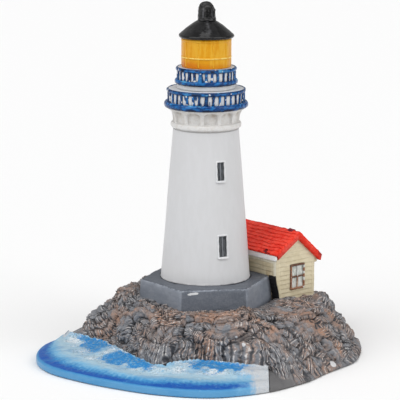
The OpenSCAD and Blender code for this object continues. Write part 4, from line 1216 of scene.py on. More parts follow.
@dataclass
class Tower:
    """The tapered tower with its windows, each an azimuth, a height, a width and a tallness."""

    deck_z: float = 30.0
    foot_r: float = 17.65
    head_r: float = 12.85
    height: float = 59.3
    windows: Table = ((24.3, 45.0, 3.5, 8.4), (24.3, 74.2, 3.1, 7.4),
                      (204.3, 45.0, 3.5, 8.4), (204.3, 74.2, 3.1, 7.4))
    surround: float = 0.5
    pane_depth: float = 0.5
    pocket: float = 0.9
    inner_r: float = 9.0

    def radius(self, z: Array) -> Array:
        """The tower's radius at a height: the straight mix from foot to head."""
        return blend(self.foot_r, self.head_r, (z - self.deck_z) / self.height)

    def place(self, window: Sequence[float], x: Array, y: Array, out: Array) -> Array:
        """Wraps a window's own coordinates round the tower: az = az0 + x / r, z = z0 + y."""
        r = self.radius(window[1] + y)
        return polar(window[0] + np.degrees(x / r), r + out, window[1] + y)

    def shaft(self) -> None:
        """Makes the shaft, with a soft pocket behind each window and painted shade under each sill."""
        plain = circle(2.0)
        fine = [w[0] - 360 * (w[0] > 180) + np.arange(-10.0, 10.01, 0.4) for w in self.windows[::2]]
        plain = plain[np.all([np.abs(plain - f[len(f) // 2]) > 10.5 for f in fine], axis=0)]
        az = np.sort(np.concatenate([plain, *fine]))
        z = np.concatenate([np.linspace(0, 1.2, 7)[:-1], np.linspace(1.2, self.height, 210)]) + self.deck_z
        turn, tall = np.meshgrid(az, z)
        p = polar(turn, self.radius(tall), tall)
        cut, darkening = np.zeros((2, *turn.shape))
        for az0, z0, w, h in self.windows:
            x = np.radians((turn - az0 + 180) % 360 - 180) * self.radius(tall)
            inside = np.minimum((w / 2 + 0.2 - np.abs(x)) / 0.25, (h / 2 + 0.2 - np.abs(tall - z0)) / 0.25)
            cut = np.maximum(cut, ease(inside))
            # Painted shade under each window's sill.
            darkening = np.maximum(darkening, 0.3 * bell(x, 0.6 * w, 4) * bell(tall - z0 + h / 2 + 1.1, 0.6))
        foot = ease((self.deck_z + 1.0 - tall) / 1.0)
        ragged = 0.22 * foot * np.abs(noise(p, 1.6, 41))
        wave = 0.07 * fractal(p, (7, 7, 16), 2, 42)
        p = polar(turn, self.radius(tall) + wave + ragged - self.pocket * cut, tall)
        # The wash: the painted shade under the sills and ragged grey at the foot.
        marks = np.vstack([0 * az, np.maximum(darkening, 0.55 * foot * (noise(p, 1.3, 43) > -0.1)), 0 * az])
        low, high = (polar(az, self.inner_r, self.deck_z + z)[None] for z in (-0.2, self.height))
        shape = Shape()
        shape.grid(np.concatenate([low, p, high]), wash=marks)
        shape.build("tower_shaft", Paint.TOWER, "tower")

    def glaze(self) -> None:
        """Makes the raised surrounds, thicker at the sill, and the dished panes with a bar each."""
        frames, panes = Shape(), Shape()
        c, s = section(14, 0.75)
        for window in self.windows:
            w, h = ((size + self.surround) / 2 for size in window[2:])
            path = rounded_rectangle(w, h, 0.35, 132)
            sill = ease((-path[:, 1:] - h + 0.35) / 0.2)
            x, y = carried(path, (self.surround / 2 + 0.12) * (1 + 0.25 * sill), c)
            bend = 0.05 * np.sin(np.linspace(0, 14 * np.pi, len(path)))[:, None]
            p = self.place(window, x + bend, y, -0.1 + (0.42 + 0.28 * sill) * s)
            frames.ring(np.swapaxes(p, 0, 1), edge=held(s)[:, None] * 0.4)
            flat, _, face = tile(window[2] / 2 + 0.15, window[3] / 2 + 0.15, 0.3, 22)
            bar = bell(flat[..., 0], 0.32, 4)
            out = np.where(face, -self.pane_depth + 0.22 * bar + 0.05 * flat_noise(flat, 1.1, 45), -1.4)
            panes.grid(self.place(window, flat[..., 0], flat[..., 1], out), wash=0.75 * bar * face)
        frames.build("tower_surrounds", Paint.TRIM, "tower_window_frames")
        panes.build("tower_panes", Paint.PANE_DARK, "tower_window_panes")

    def build(self) -> None:
        """Makes the shaft and its windows."""
        self.shaft()
        self.glaze()


# The galleries


@dataclass
class Galleries:
    """The corbel ring and the two galleries."""

    head_z: float = 89.3
    corbel_h: float = 8.5
    ledge_r: float = 13.8
    ledge_steps: Table = ((-1.4, 0), (-1.4, 0.45), (-0.2, 0.75), (0, 1.3), (0, 2.1))
    bore_r: float = 8.0
    flare_r: float = 13.0
    corbel_r: float = 15.4
    core_r: float = 12.1
    shelf_z: float = 2.7
    brackets: int = 12
    bracket_turn: float = -7.0
    low_r: float = 14.7
    low_h: float = 7.4
    low_moulding: tuple[float, float] = (16.4, 2.4)
    low_balusters: int = 36
    neck: tuple[float, float] = (11.4, 1.8)
    high_r: float = 11.1
    high_h: float = 8.4
    high_moulding: tuple[float, float] = (12.3, 1.8)
    high_balusters: int = 30
    rail_h: float = 1.5
    rail_proud: float = 0.75
    baluster_w: float = 0.95
    bar_rings: int = 18
    bar_sides: int = 12
    proud: float = 0.5

    def corbel(self) -> None:
        """Makes the flared ring: r is the mix from its profile to the core within each soft niche."""
        top, ledge, shelf = self.corbel_h, self.ledge_r, self.shelf_z
        flare = [(self.flare_r + (self.corbel_r - self.flare_r) * (1 - math.cos(a)),
                  shelf + (top - 0.35 - shelf) * math.sin(a)) for a in np.radians(np.arange(0, 91, 15))]
        profile = [(self.bore_r, 0), *((ledge + r, z) for r, z in self.ledge_steps), (ledge - 0.3, shelf),
                   *flare, (self.corbel_r, top), (self.bore_r, top)]
        turn, r, z, outer = turned(rounded(resample(profile, 0.16), 2), 0.6)
        z = z + 0 * turn
        spacing = 360 / self.brackets
        local = np.abs((turn - self.bracket_turn) % spacing - spacing / 2) * math.radians(1) * ledge
        half = math.radians(spacing) * ledge / 2 - 0.6
        tall = top - shelf - 0.9
        arch = shelf + 0.15 + tall - 1.1 * held(local / half) ** 2.5
        inside = np.minimum.reduce([(half - local) / 0.45, (z - shelf - 0.05) / 0.35, (arch - z) / 0.4])
        mask = ease(inside) * (r > self.core_r)
        hollow = np.minimum(np.maximum(self.core_r, r - 1.7), r)
        uneven = 0.09 * fractal(outer, 1.8, 3, 51) * (r > 10)
        # Painted shade in each niche, deepest under the flange.
        shade = mask * (0.1 + 0.75 * ease((z - shelf - 0.8) / tall)) * (0.8 + 0.5 * noise(outer, 1.5, 52))
        line = (0.4 * bell(z - shelf, 0.3) + 0.45 * bell(z - 0.5, 0.25)) * (0.5 + 0.5 * noise(outer, 2, 53))
        shape = Shape()
        # Wash: the niches' painted shade and dark joint lines; edge: painted light on the brackets.
        shape.grid(polar(turn, blend(r, hollow, mask) + uneven, z + self.head_z),
                   wash=held(np.maximum(shade, line)),
                   edge=0.45 * (1 - mask) * (z > shelf + 0.3) * (z < top - 0.5))
        shape.build("corbel", Paint.CORBEL, "corbel_ring")

    def moulding(self, name: str, node: str, z: float, bore: float, size: tuple[float, float],
                 seed: float) -> None:
        """Makes a half-round moulding: r = r0 + a cos v, z = z0 + b sin v, uneven by noise.

        Args:
            name: The piece's name.
            node: The CAD node that it stands for.
            z: Height of its underside.
            bore: Its inner radius.
            size: Its outer radius and its height.
            seed: Picks its unevenness.
        """
        v = angles(28)[:, None]
        c, s = np.cos(v), np.sign(np.sin(v)) * np.abs(np.sin(v)) ** 0.85
        mid, half, tall = (bore + size[0]) / 2, (size[0] - bore) / 2, size[1] / 2
        base = polar(circle(1.0), mid + half * c, z + tall + tall * s)
        dent = (0.1 * fractal(base, 2.2, 3, seed) - 0.1 * held(noise(base, 1.2, seed + 3))) * (c > -0.2)
        patchy = noise(base, (2.8, 2.8, 1.2), seed + 5)
        shape = Shape()
        # Edge: a patchy painted highlight on the upper half; wash: painted shade on the lower half.
        shape.ring(polar(circle(1.0), mid + (half + dent) * c, z + tall + (tall + 0.6 * dent) * s),
                   edge=0.75 * ease((s + 0.1) / 0.8) * held(patchy + 0.35),
                   wash=held(ease((0.2 - s) / 0.9) * (0.75 - 0.7 * patchy)))
        shape.build(name, Paint.BLUE, node)

    def drum(self, name: str, node: str, z: float, profile: Sequence[tuple[float, float]],
             bars: tuple[int, float, float]) -> None:
        """Makes a white drum, smeared with blue-grey beside its balusters, with painted navy shade under its
        rail and above its roll.

        Args:
            name: The piece's name.
            node: The CAD node that it stands for.
            z: Height of its underside.
            profile: Its radii and heights from its underside to its deck.
            bars: The balusters' number, lowest and highest point.
        """
        data = [(5, profile[0][1]), *profile, (5, profile[-1][1])]
        turn, r, tall, p = turned(rounded(resample(data, 0.3), 1), 1.0)
        wavy = r + 0.06 * fractal(p, 3, 2, 61)
        p = polar(turn, wavy, tall + 0.05 * fractal(p, 2.5, 2, 62) * (tall > profile[-1][1] - 0.2))
        count, low, high = bars
        phase = np.abs((turn * count / 360 + 0.5) % 1 - 0.5) * 2 * np.pi * r / count
        beside = bell(phase, self.baluster_w * 0.68, 6)
        # Painted shade: navy just under the rail and just above the roll.
        ends = bell(tall - high, 0.45) + 0.7 * bell(tall - low, 0.35)
        drip = (ease((noise(p, (1.3, 1.3, 2.6), 64) - 0.38) / 0.16) * ease((turn + 55) / 20)
                * ease((12 - turn) / 12))
        smear_and_shade = np.maximum(np.maximum(beside, ends) * (0.65 + 0.35 * noise(p, 0.9, 63)), drip)
        p[..., 2] += z
        shape = Shape()
        shape.grid(p, wash=held(smear_and_shade * (tall > low - 0.3) * (tall < high + 0.3)))
        shape.build(name, Paint.DRUM, node)

    def railing(self, name: str, node: str, z: float, h: float, r: float, count: int, seed: float) -> None:
        """Makes the balusters and their top rail, each bar with its own width, lean and brush marks.

        A bar follows az = az0 + lean (t - 0.5) and swells by 1 + 0.3 |2 t - 1|^3 at its ends.

        Args:
            name: The piece's name.
            node: The CAD node that it stands for.
            z: Height of the balusters' foot.
            h: Height from there to the rail's top.
            r: The drum's radius.
            count: How many balusters.
            seed: Picks the unevenness.
        """
        shape = Shape()
        t = np.linspace(0, 1, self.bar_rings)
        face = np.sin(angles(self.bar_sides))
        for k in range(count):
            a, b, c, d = (float(grit(k, seed, m)) for m in (1, 2, 3, 4))
            az = k * 360 / count + np.degrees((0.5 * (a - 0.5) + 0.75 * (b - 0.5) * (t - 0.5)) / r)
            path = polar(az, r + 0.02, z - 0.1 + (h - self.rail_h + 0.3) * t)
            wide = self.baluster_w / 2 * (0.75 + 0.45 * c + 0.5 * (b > 0.86))
            wide = wide * (1 + 0.3 * np.abs(2 * t - 1) ** 3) * (1 + 0.16 * noise(path, 0.9, seed + k))
            deep = self.proud * (0.8 + 0.25 * d) * (1 + 0.12 * noise(path, 1.1, seed + 50 + k))
            grid = upright(az, path, wide, deep, self.bar_sides)
            # Wash: painted shade along each bar's sides, and some bars painted darker all over.
            shape.grid(grid, edge=0.5 * (d > 0.5) * ease((c - 0.3) / 0.4) * ease((face - 0.5) / 0.4),
                       wash=0.9 * ease((0.75 - face) / 0.5) + 0.5 * (d < 0.35),
                       dab=0.75 * ease((noise(grid, 1.1, seed + 21) - 0.45) / 0.2))
        edge, low, top = r + self.rail_proud, z + h - self.rail_h, z + h
        loop = [(r + 0.03, low), (edge - 0.35, low), (edge, low + 0.35), (edge, top - 0.45),
                (edge - 0.35, top), (r + 0.03, top), (r + 0.03, low)]
        turn, rail_r, rail_z, p = turned(rounded(resample(loop, 0.18), 2)[:-1], 1.0)
        dent = 0.11 * fractal(p, 1.7, 3, seed) * (rail_r > r + 0.2)
        p = polar(turn, rail_r + dent, rail_z + 0.5 * dent)
        patchy = noise(p, (2.5, 2.5, 1.2), seed + 9)
        # Painted shade along the rail's underside and just below its top.
        under = ease((low + 0.55 - p[..., 2]) / 0.5) + bell(p[..., 2] - top + 0.25, 0.22)
        # Edge: painted highlights in light-blue patches; wash: the painted shade and darker patches.
        shape.ring(p, edge=0.72 * held(patchy + 0.12),
                   wash=held(np.maximum(0.75 * under, -1.3 * patchy - 0.1)),
                   dab=0.6 * ease((noise(p, 1.2, seed + 31) - 0.62) / 0.15))
        shape.build(name, Paint.BLUE, node)

    def build(self) -> None:
        """Makes both galleries from the tower's head upwards."""
        self.corbel()
        z = self.head_z + self.corbel_h
        roll_h = self.low_moulding[1]
        self.moulding("lower_roll", "lower_moulding", z, self.low_r + 0.05, self.low_moulding, 71)
        self.drum("lower_drum", "lower_gallery", z, [(self.low_r, 0), (self.low_r, self.low_h - 0.1)],
                  (self.low_balusters, roll_h, self.low_h - self.rail_h))
        self.railing("lower_rails", "lower_railing", z + roll_h, self.low_h - roll_h, self.low_r,
                     self.low_balusters, 7)
        z += self.low_h
        neck_r, neck_h = self.neck
        below = neck_h + self.high_moulding[1]
        profile = [(neck_r, 0), (neck_r, neck_h), (self.high_r, neck_h + 0.05),
                   (self.high_r, self.high_h - 0.1)]
        self.drum("upper_drum", "watch_room", z, profile,
                  (self.high_balusters, below, self.high_h - self.rail_h))
        self.moulding("upper_roll", "upper_moulding", z + neck_h, self.high_r + 0.05, self.high_moulding, 81)
        self.railing("upper_rails", "upper_railing", z + below, self.high_h - below, self.high_r,
                     self.high_balusters, 11)


# The lantern


@dataclass
class Lantern:
    """The lantern, its glazing, its roof and its finial."""

    foot_z: float = 113.6
    radius: float = 9.5
    height: float = 11.8
    rim_proud: float = 0.28
    rim_h: float = 0.9
    ring_z: float = 3.6
    ring_half: float = 0.36
    bars: int = 10
    bar_turn: float = 17.0
    bar_w: float = 0.6
    bar_proud: float = 0.22
    rim_r: float = 10.8
    rim_round: float = 0.8
    roof_h: float = 6.1
    finial_r: float = 3.15
    finial_h: float = 7.4
    hoop_r: float = 0.55
    hoop_drop: float = 3.6

    def drum(self) -> None:
        """Makes the yellow drum with its top rim: a softened profile turned round the axis."""
        top, rim, r0 = self.height, self.height - 2 * self.rim_h, self.radius
        proud = r0 + self.rim_proud
        profile = [(4, 0), (r0 + 0.1, 0), (r0, 0.4), (r0, rim), (proud, rim + 0.1), (proud, rim + self.rim_h),
                   (r0, rim + self.rim_h + 0.1), (r0, top), (4, top)]
        turn, r, z, p = turned(rounded(resample(profile, 0.2), 1), 1.2)
        # Painted shade: darker orange towards the bottom and on the left side.
        low = 0.75 * (1 - ease((z - 0.3) / 3.2)) * (0.7 + 0.3 * np.cos(np.radians(turn + 50)))
        shape = Shape()
        shape.grid(polar(turn, r + 0.07 * fractal(p, (2.5, 2.5, 7), 3, 91) * (r > 8), z + self.foot_z),
                   wash=held(low + 0.35 * ease(-np.sin(np.radians(turn)) * 1.2)))
        shape.build("lantern_drum", Paint.LANTERN, "lantern")

    def glazing(self) -> None:
        """Makes the raised ring and upright bars, rounded and a little uneven."""
        shape = Shape()
        t = np.linspace(0, 1, 40)
        tall = self.height - 2 * self.rim_h - 0.5
        for k in range(self.bars):
            az = self.bar_turn + k * 360 / self.bars + 0 * t
            path = polar(az, self.radius, self.foot_z + 0.4 + tall * t)
            wide = self.bar_w / 2 * (0.85 + 0.2 * noise(path, 1.6, 93))
            shape.grid(upright(az, path, wide, self.bar_proud, 10))
        v = angles(14)[:, None]
        az, middle = circle(1.5), self.foot_z + self.ring_z + 0.3
        base = polar(az, self.radius, middle + 0 * v)
        deep = self.ring_half * (1 + 0.15 * noise(base, 1.8, 95)) * np.cos(v)
        wide = self.ring_half * (1 + 0.2 * noise(base, 2.2, 94)) * np.sin(v)
        shape.ring(polar(az, self.radius + deep, middle + wide), edge=0.7 * held(np.cos(v)))
        shape.build("lantern_bars", Paint.GLAZING, "lantern_glazing")

    def roof(self) -> None:
        """Makes the black roof: a rounded rim and a slightly swelling cone, uneven by noise."""
        z0, lip = self.foot_z + self.height - 0.6, self.rim_round
        rim = [(self.rim_r - lip + lip * math.cos(a), lip + lip * math.sin(a))
               for a in np.radians(np.arange(-75, 61, 9))]
        cone = [(blend(self.rim_r - 0.5 * lip, self.finial_r + 0.5, t),
                 blend(lip * 1.87, self.roof_h + 0.6, t) + 0.3 * math.sin(math.pi * t))
                for t in np.linspace(0.08, 1, 22)]
        profile = [(self.radius - 1, 0.6), (self.radius + 0.1, 0.55), (self.radius + 0.15, 0.0), *rim, *cone,
                   (1.2, self.roof_h + 0.65)]
        turn, r, z, p = turned(rounded(resample(profile, 0.25), 3), 1.5)
        r = r + 0.13 * fractal(p, 3, 3, 101) * ease((r - 1.5) / 2)
        # A painted highlight on the cone's front and front-left, and painted shade over its right side.
        painted_highlight = bell(turn - 6, 16) + 0.8 * bell(turn + 50, 22)
        shape = Shape()
        shape.grid(polar(turn, r, z + z0), edge=0.62 * painted_highlight * ease((z - 1.2) / 1.5),
                   wash=ease((turn - 26) / 10) * (turn < 110))
        shape.build("lantern_cap", Paint.BLACK, "lantern_roof")

    def finial(self) -> None:
        """Makes the lumpy finial: an egg-shaped head with a soft hollow in front and a hooped rib over it.

        The head is an ellipse 1.3 radii tall. The rib runs over the head on the right of the hollow:
        [0.5 + 0.68 R cos a, -R (0.9 - 0.46 sin a), foot + 0.72 R sin a], of uneven thickness.
        """
        z0, tall = self.foot_z + self.height + self.roof_h, self.finial_h
        big = self.finial_r + 0.3
        head = 1.3 * big
        body = tall - head
        dome = [((big - 0.1) * math.cos(a), body + head * math.sin(a))
                for a in np.radians(np.arange(5, 89, 6))]
        profile = [(1.4, -0.3), (big + 0.3, 0), (big + 0.1, 0.8), (big - 0.08, body), *dome, (0.05, tall)]
        turn, r, z, p = turned(rounded(resample(profile, 0.16), 2), 2.5)
        side = np.abs(turn - 10) / 30
        recess = ease(1.3 - side) * ease((z - 0.5) / 0.8) * ease((0.74 * tall - z) / 1.2)
        crease = bell(side - 1.05, 0.3) * ease(z - 0.4) * ease((0.8 * tall - z) / 1.5)
        lump = (0.22 * fractal(p, 2.0, 3, 111) + 0.2 * crease) * ease((r - 0.3) / 1.2)
        shape = Shape()
        # Wash: painted shade in the hollow; edge: a painted highlight along the crease beside it.
        shape.grid(polar(turn, np.maximum(0.02, r - 0.7 * recess + lump), z + z0 + 0.3 * lump),
                   wash=0.9 * recess, edge=0.8 * crease)
        a = np.radians(np.linspace(-20, 186, 48))
        rise = np.sin(a)
        arch = np.stack([0.5 + 0.68 * big * np.cos(a), -big * (0.9 - 0.46 * held(rise)),
                         z0 + 0.5 * tall + 0.72 * big * rise + self.hoop_drop * np.minimum(rise, 0)], -1)
        along = np.gradient(arch, axis=0)
        along /= np.linalg.norm(along, axis=1, keepdims=True)
        out = np.array([0.1, -0.9, 0.42])
        across = np.cross(along, out / np.linalg.norm(out))
        ends = ease(np.minimum(a - a[0], a[-1] - a) / 0.3 + 0.25)
        thick = self.hoop_r * (0.9 + 0.25 * noise(arch, 1.3, 113)) * ends
        grid = tube(arch, across, np.cross(across, along), thick, thick, 12)
        # Edge: painted highlights in patches on the rib.
        shape.grid(grid, edge=0.5 * held(noise(grid, 1.1, 114) + 0.3))
        shape.build("finial_cap", Paint.BLACK, "finial")

    def build(self) -> None:
        """Makes the lantern from its foot upwards."""
        self.drum()
        self.glazing()
        self.roof()
        self.finial()


# The cottage


@dataclass
class Cottage:
    """The boarded cottage with its red roof. Its own x runs across the gable and y runs back."""

    corner: tuple[float, float] = (28.0, -2.5)
    turn: float = 41.0
    bed: float = 19.0
    deck: float = 30.0
    width: float = 20.6
    length: float = 38.0
    ridge_x: float = 11.0
    ridge_z: float = 25.0
    near_z: float = 18.1
    far_z: float = 16.5
    pitch: float = 1.8
    proud: float = 0.3
    undercut: float = 1.9
    roof_t: float = 2.6
    overhang: float = 1.2
    far_overhang: float = 1.8
    courses: int = 8
    step: float = 0.35
    soffit: float = 1.6
    board_h: float = 2.2
    vent: tuple[float, float, float] = (1.8, 3.0, 0.4)
    frame: tuple[float, float, float] = (7.8, 10.4, 4.5)
    frame_x: float = 11.3
    timber: float = 0.85
    pocket: float = 0.35

    def out_there(self, x: Number, y: Number, z: Number) -> Array:
        """The cottage's own coordinates turned and moved to the part's frame."""
        a = math.radians(self.turn)
        x, y, z = np.broadcast_arrays(x, y, z)
        return np.stack([self.corner[0] + x * math.cos(a) - y * math.sin(a),
                         self.corner[1] + x * math.sin(a) + y * math.cos(a), z], -1)

    def slopes(self) -> tuple[float, float]:
        """The near and the far slope of the roof."""
        return ((self.ridge_z - self.near_z) / self.ridge_x,
                (self.ridge_z - self.far_z) / (self.width - self.ridge_x))

    def line(self, x: Number, near: bool, lift: float) -> Number:
        """Height of a line parallel to the walls' top, lift above it, on one side of the ridge."""
        slope = self.slopes()[0 if near else 1]
        across = self.ridge_x - x if near else x - self.ridge_x
        return self.bed + self.ridge_z + lift * math.hypot(1, slope) - slope * across

    def under(self, x: Number) -> Array:
        """Height of the walls' top under the roof: ridge - slope |ridge_x - x| on each side."""
        return np.where(x < self.ridge_x, self.line(x, True, 0), self.line(x, False, 0))

    def crown(self) -> tuple[float, float]:
        """Where the two slopes' outer faces meet, under the courses."""
        near, far = self.slopes()
        lift = self.roof_t - self.step
        x = self.ridge_x + lift * (math.hypot(1, far) - math.hypot(1, near)) / (near + far)
        return x, float(self.line(x, True, lift))

    def soffit_z(self) -> float:
        """Height of the roof's near soffit, a little under its lower edge."""
        edge = float(self.line(-self.overhang, True, self.roof_t - self.step))
        return min(float(self.under(0.0)) + self.soffit, edge - 0.3)

    def walls(self) -> None:
        """Makes the four boarded walls as one skin, with painted shade low on the near wall and a painted
        shadow below the deck.

        Each board stands out by proud (0.35 + 0.65 (1 - f)), f the share of its height, softened at its lap;
        corner posts stand out evenly; the near wall leans back below the deck.
        """
        w, l = self.width, self.length
        wide, long, rows = 100, 150, 150
        x = np.concatenate([np.linspace(0, w, wide, False), np.full(long, w), np.linspace(w, 0, wide, False),
                            np.zeros(long)])
        y = np.concatenate([np.zeros(wide), np.linspace(0, l, long, False), np.full(wide, l),
                            np.linspace(l, 0, long, False)])
        nx, ny = (np.repeat(v, (wide, long, wide, long)) for v in ([0.0, 1, 0, -1], [-1.0, 0, 1, 0]))
        for _ in range(3):
            nx, ny = ((np.roll(v, 1) + 2 * v + np.roll(v, -1)) / 4 for v in (nx, ny))
        top = self.under(x) + 0.15
        z = blend(self.bed + 0.05, top, np.linspace(0, 1, rows)[:, None])
        rough = self.out_there(x, y, z)
        wave = 0.28 * noise(rough, (7, 7, 30), 121) + 0.12 * noise(rough, (2.5, 2.5, 9), 122)
        f = ((z - self.bed + wave * 0.6) / self.pitch) % 1
        lap = (1 - f) * ease(f / 0.22)
        corner = np.where(np.abs(ny) > 0.5, np.minimum(x, w - x), np.minimum(y, l - y))
        post = 1 - ease((corner - 1.3) / 0.3)
        stand = (blend(self.proud * (0.35 + 0.65 * lap), self.proud, post)
                 + 0.05 * fractal(rough, 1.6, 2, 123))
        hole = np.zeros(z.shape)
        fw, fh, fz = self.frame
        up = (fh / 2 + 0.1 - np.abs(z - self.bed - fz - fh / 2)) / 0.3
        for along, middle, here in ((x, self.frame_x, ny < -0.5), (y, l / 2, nx > 0.5),
                                    (x, self.frame_x, ny > 0.5)):
            inside = np.minimum((fw / 2 + 0.1 - np.abs(along - middle)) / 0.3, up)
            hole = np.maximum(hole, ease(inside) * here)
        stand = stand * (1 - hole) - self.pocket * hole
        lean = np.where(y < l / 2 + 6, ease((self.deck + 0.3 - z) / (self.deck - self.bed - 1.5)),
                        ease((self.deck - z) / 9))
        back = self.undercut * lean * held(1 - x / 4.0)
        groove = bell(f - 0.03, 0.09) + bell(f - 1.0, 0.05)
        near_side = (nx < -0.5) * (y < l / 2) + 0 * z
        streak = (0.3 + 0.5 * held(noise(rough, (3.5, 3.5, 1), 124))) * (1 - 0.7 * near_side)
        stain = (0.3 * ease((self.bed + 3.2 - z) / 2.5) * ease((x - w / 2) / 5)
                 * (0.7 + 0.5 * noise(rough, 1.5, 125)))
        # The near wall's darkening: vertical stains, and painted shade towards the deck.
        darkening = near_side * (0.35 * ease((noise(rough, (1.5, 1.5, 7), 126) - 0.05) / 0.3)
                            + 0.3 * ease((self.deck + 3.5 - z) / 3))
        verge = ease((1.9 + 0.3 * noise(rough, 2.5, 127) - (top - z)) / 0.5) * (np.abs(ny) > 0.5)
        light = (np.maximum(0.42 * post, 0.5 * verge) * (1 - hole)
                 + near_side * (0.35 + 0.4 * ease((2.4 - (top - z)) / 0.6)))
        # Painted shadow: near-black on the near wall below the deck, by its front corner.
        black = (ease((self.deck + 0.6 + 0.3 * noise(rough, 1.8, 128) - z) / 0.4) * (nx < -0.35)
                 * ease((5 - y) / 1.5))
        shape = Shape()
        shape.grid(self.out_there(x + nx * stand + back, y + ny * stand, z),
                   wash=held(groove * streak * (1 - hole) * (1 - verge) + stain + darkening),
                   edge=light, dab=black)
        shape.ring(self.eave_strip())
        shape.build("cottage_walls", Paint.CREAM, "house_walls")

    def eave_strip(self) -> Array:
        """A closed strip under the far eave: a small section carried along the length.

        Returns:
            A grid with one ring for each place along the length.
        """
        w, low = self.width, float(self.under(self.width)) - 2.4
        edge = float(self.under(w + 1.4))
        profile = resample([(w - 0.8, low), (w + 0.5, low), (w + 1.4, edge - 1.0), (w + 1.4, edge + 0.1),
                            (w - 0.8, float(self.under(w - 0.8)))], 0.5)
        middle = profile.mean(0)
        y = np.concatenate([[0.3, -self.proud], np.linspace(0.2, self.length - 0.2, 60),
                            [self.length + self.proud, self.length - 0.3]])
        size = np.concatenate([[0.02, 0.92], np.ones(60), [0.92, 0.02]])
        ring = middle + (profile[:, None] - middle) * size[:, None]
        return self.out_there(ring[..., 0], y, ring[..., 1])

    def roof(self) -> None:
        """Makes the roof: an outer line with its courses over an inner line, carried along the length.

        Each course starts low under the one above and swells to its lower edge; the edges wander and
        the paint pools below them.
        """
        near_x, far_x = -self.overhang, self.width + self.far_overhang
        near, far = self.slopes()
        far_out = self.roof_t * far / math.hypot(1, far)
        lift = self.roof_t - self.step
        n, rings = 140, 150
        s = np.linspace(0, 1, n)
        cx = self.crown()[0]
        left, right = blend(near_x, cx, s)[:-1], blend(cx, far_x + 0.75 * far_out, s)
        outer_x = np.concatenate([left, right])[:, None]
        outer_z = np.concatenate([self.line(left, True, lift), self.line(right, False, lift)])[:, None]
        share = np.concatenate([(1 - s)[:-1], s])[:, None]
        up = rounded(np.vstack([np.tile([-near, 1.0], (n - 1, 1)) / math.hypot(1, near),
                                np.tile([far, 1.0], (n, 1)) / math.hypot(1, far)]), 12)
        inner_x = np.concatenate([blend(near_x, self.ridge_x, s)[:-1],
                                  blend(self.ridge_x, far_x + 0.55 * far_out, s)])
        inner_z = np.where(inner_x < 0.0, self.soffit_z(), self.under(inner_x))
        rise = 0.2 * self.roof_t * (inner_x - far_x) / (0.55 * far_out + 1e-6)
        inner_z = np.where(inner_x > far_x, self.line(inner_x, False, rise), inner_z)
        y = np.concatenate([[-1.2, -1.17, -1.08, -0.9], np.linspace(-0.6, self.length + 0.6, rings),
                            self.length + np.array([0.9, 1.08, 1.17, 1.2])])
        end = np.concatenate([[0.94, 0.975, 0.99, 1.0], np.ones(rings), [1.0, 0.99, 0.975, 0.94]])
        where = self.out_there(outer_x, y, outer_z)
        f = (share * self.courses + 0.2 * noise(where, 5, 131) + 0.1 * noise(where, 1.8, 132)) % 1
        swell = self.step * (0.35 + 0.9 * f**1.5) * ease((1 - f) / 0.1)
        far_side = (np.arange(len(outer_x)) >= n - 1)[:, None]
        swell = np.where(far_side, blend(0.85 * self.step, swell, 0.35), swell)
        stand = (swell + 0.1 * fractal(where, 1.5, 3, 133) + 0.2)[..., None]
        inner = np.stack([inner_x, inner_z], -1)[:, None]
        outer = np.concatenate([outer_x, outer_z], -1)[:, None] + up[:, None] * stand
        outer = inner + (outer - inner) * end[:, None]
        inner = inner + 0 * outer
        loop = np.concatenate([self.out_there(outer[..., 0], y, outer[..., 1]),
                               self.out_there(inner[..., 0], y, inner[..., 1])[::-1]])
        pool = held(bell(f - 0.04, 0.12) + 0.5 * bell(f - 0.97, 0.05))
        pool = pool * (0.7 + 0.5 * noise(where, 2.2, 134))
        tip = ease((outer_x - far_x + 1.5) / 1.2)
        blotch = ease((noise(where, 1.1, 136) + 0.1) / 0.2) * bell(y - 4.6, 2.4, 4)
        blotch = blotch * ease((0.9 - outer_x) / 0.6)
        marks = {"wash": held(np.maximum(0.75 * pool, 0.8 * tip)), "dab": 0.8 * blotch,
                 "edge": 0.35 * held(noise(where, 3, 135)) * (f > 0.6)}
        shape = Shape()
        shape.grid(np.swapaxes(loop, 0, 1), zipped=True,
                   **{k: np.concatenate([v, 0 * v]).T for k, v in marks.items()})
        shape.build("cottage_roof", Paint.RED, "house_roof")

    def board(self) -> None:
        """Makes the white board under the near eave: section |u|^4 + |v|^4 = 1, ends rounded; its white is
        brightened with painted light.
        """
        top = self.soffit_z()
        low = np.array([0.1 - self.overhang, 0.1 - self.overhang, top - self.board_h])
        high = np.array([-self.proud - 0.02, self.length + 1.1, top])
        half, mid = (high - low) / 2, (high + low) / 2
        c, s = section(24, 0.5)
        y = np.linspace(low[1], high[1], 60)[:, None]
        size = ends_rounded(np.minimum(y - low[1], high[1] - y) / 0.5)
        p = np.stack(np.broadcast_arrays(mid[0] + half[0] * size * c, y, mid[2] + half[2] * size * s), -1)
        p[..., 0] += 0.06 * noise(p, 2.0, 141)
        p[..., 2] += 0.08 * noise(p, 2.6, 142)
        shape = Shape()
        shape.grid(self.out_there(*np.moveaxis(p, -1, 0)), wash=0.5 * held(noise(p, 1.5, 143)),
                   edge=0.4 * held(noise(p, 2.5, 144)))
        shape.build("eave_fascia", Paint.BOARD_LIT, "eave_board")

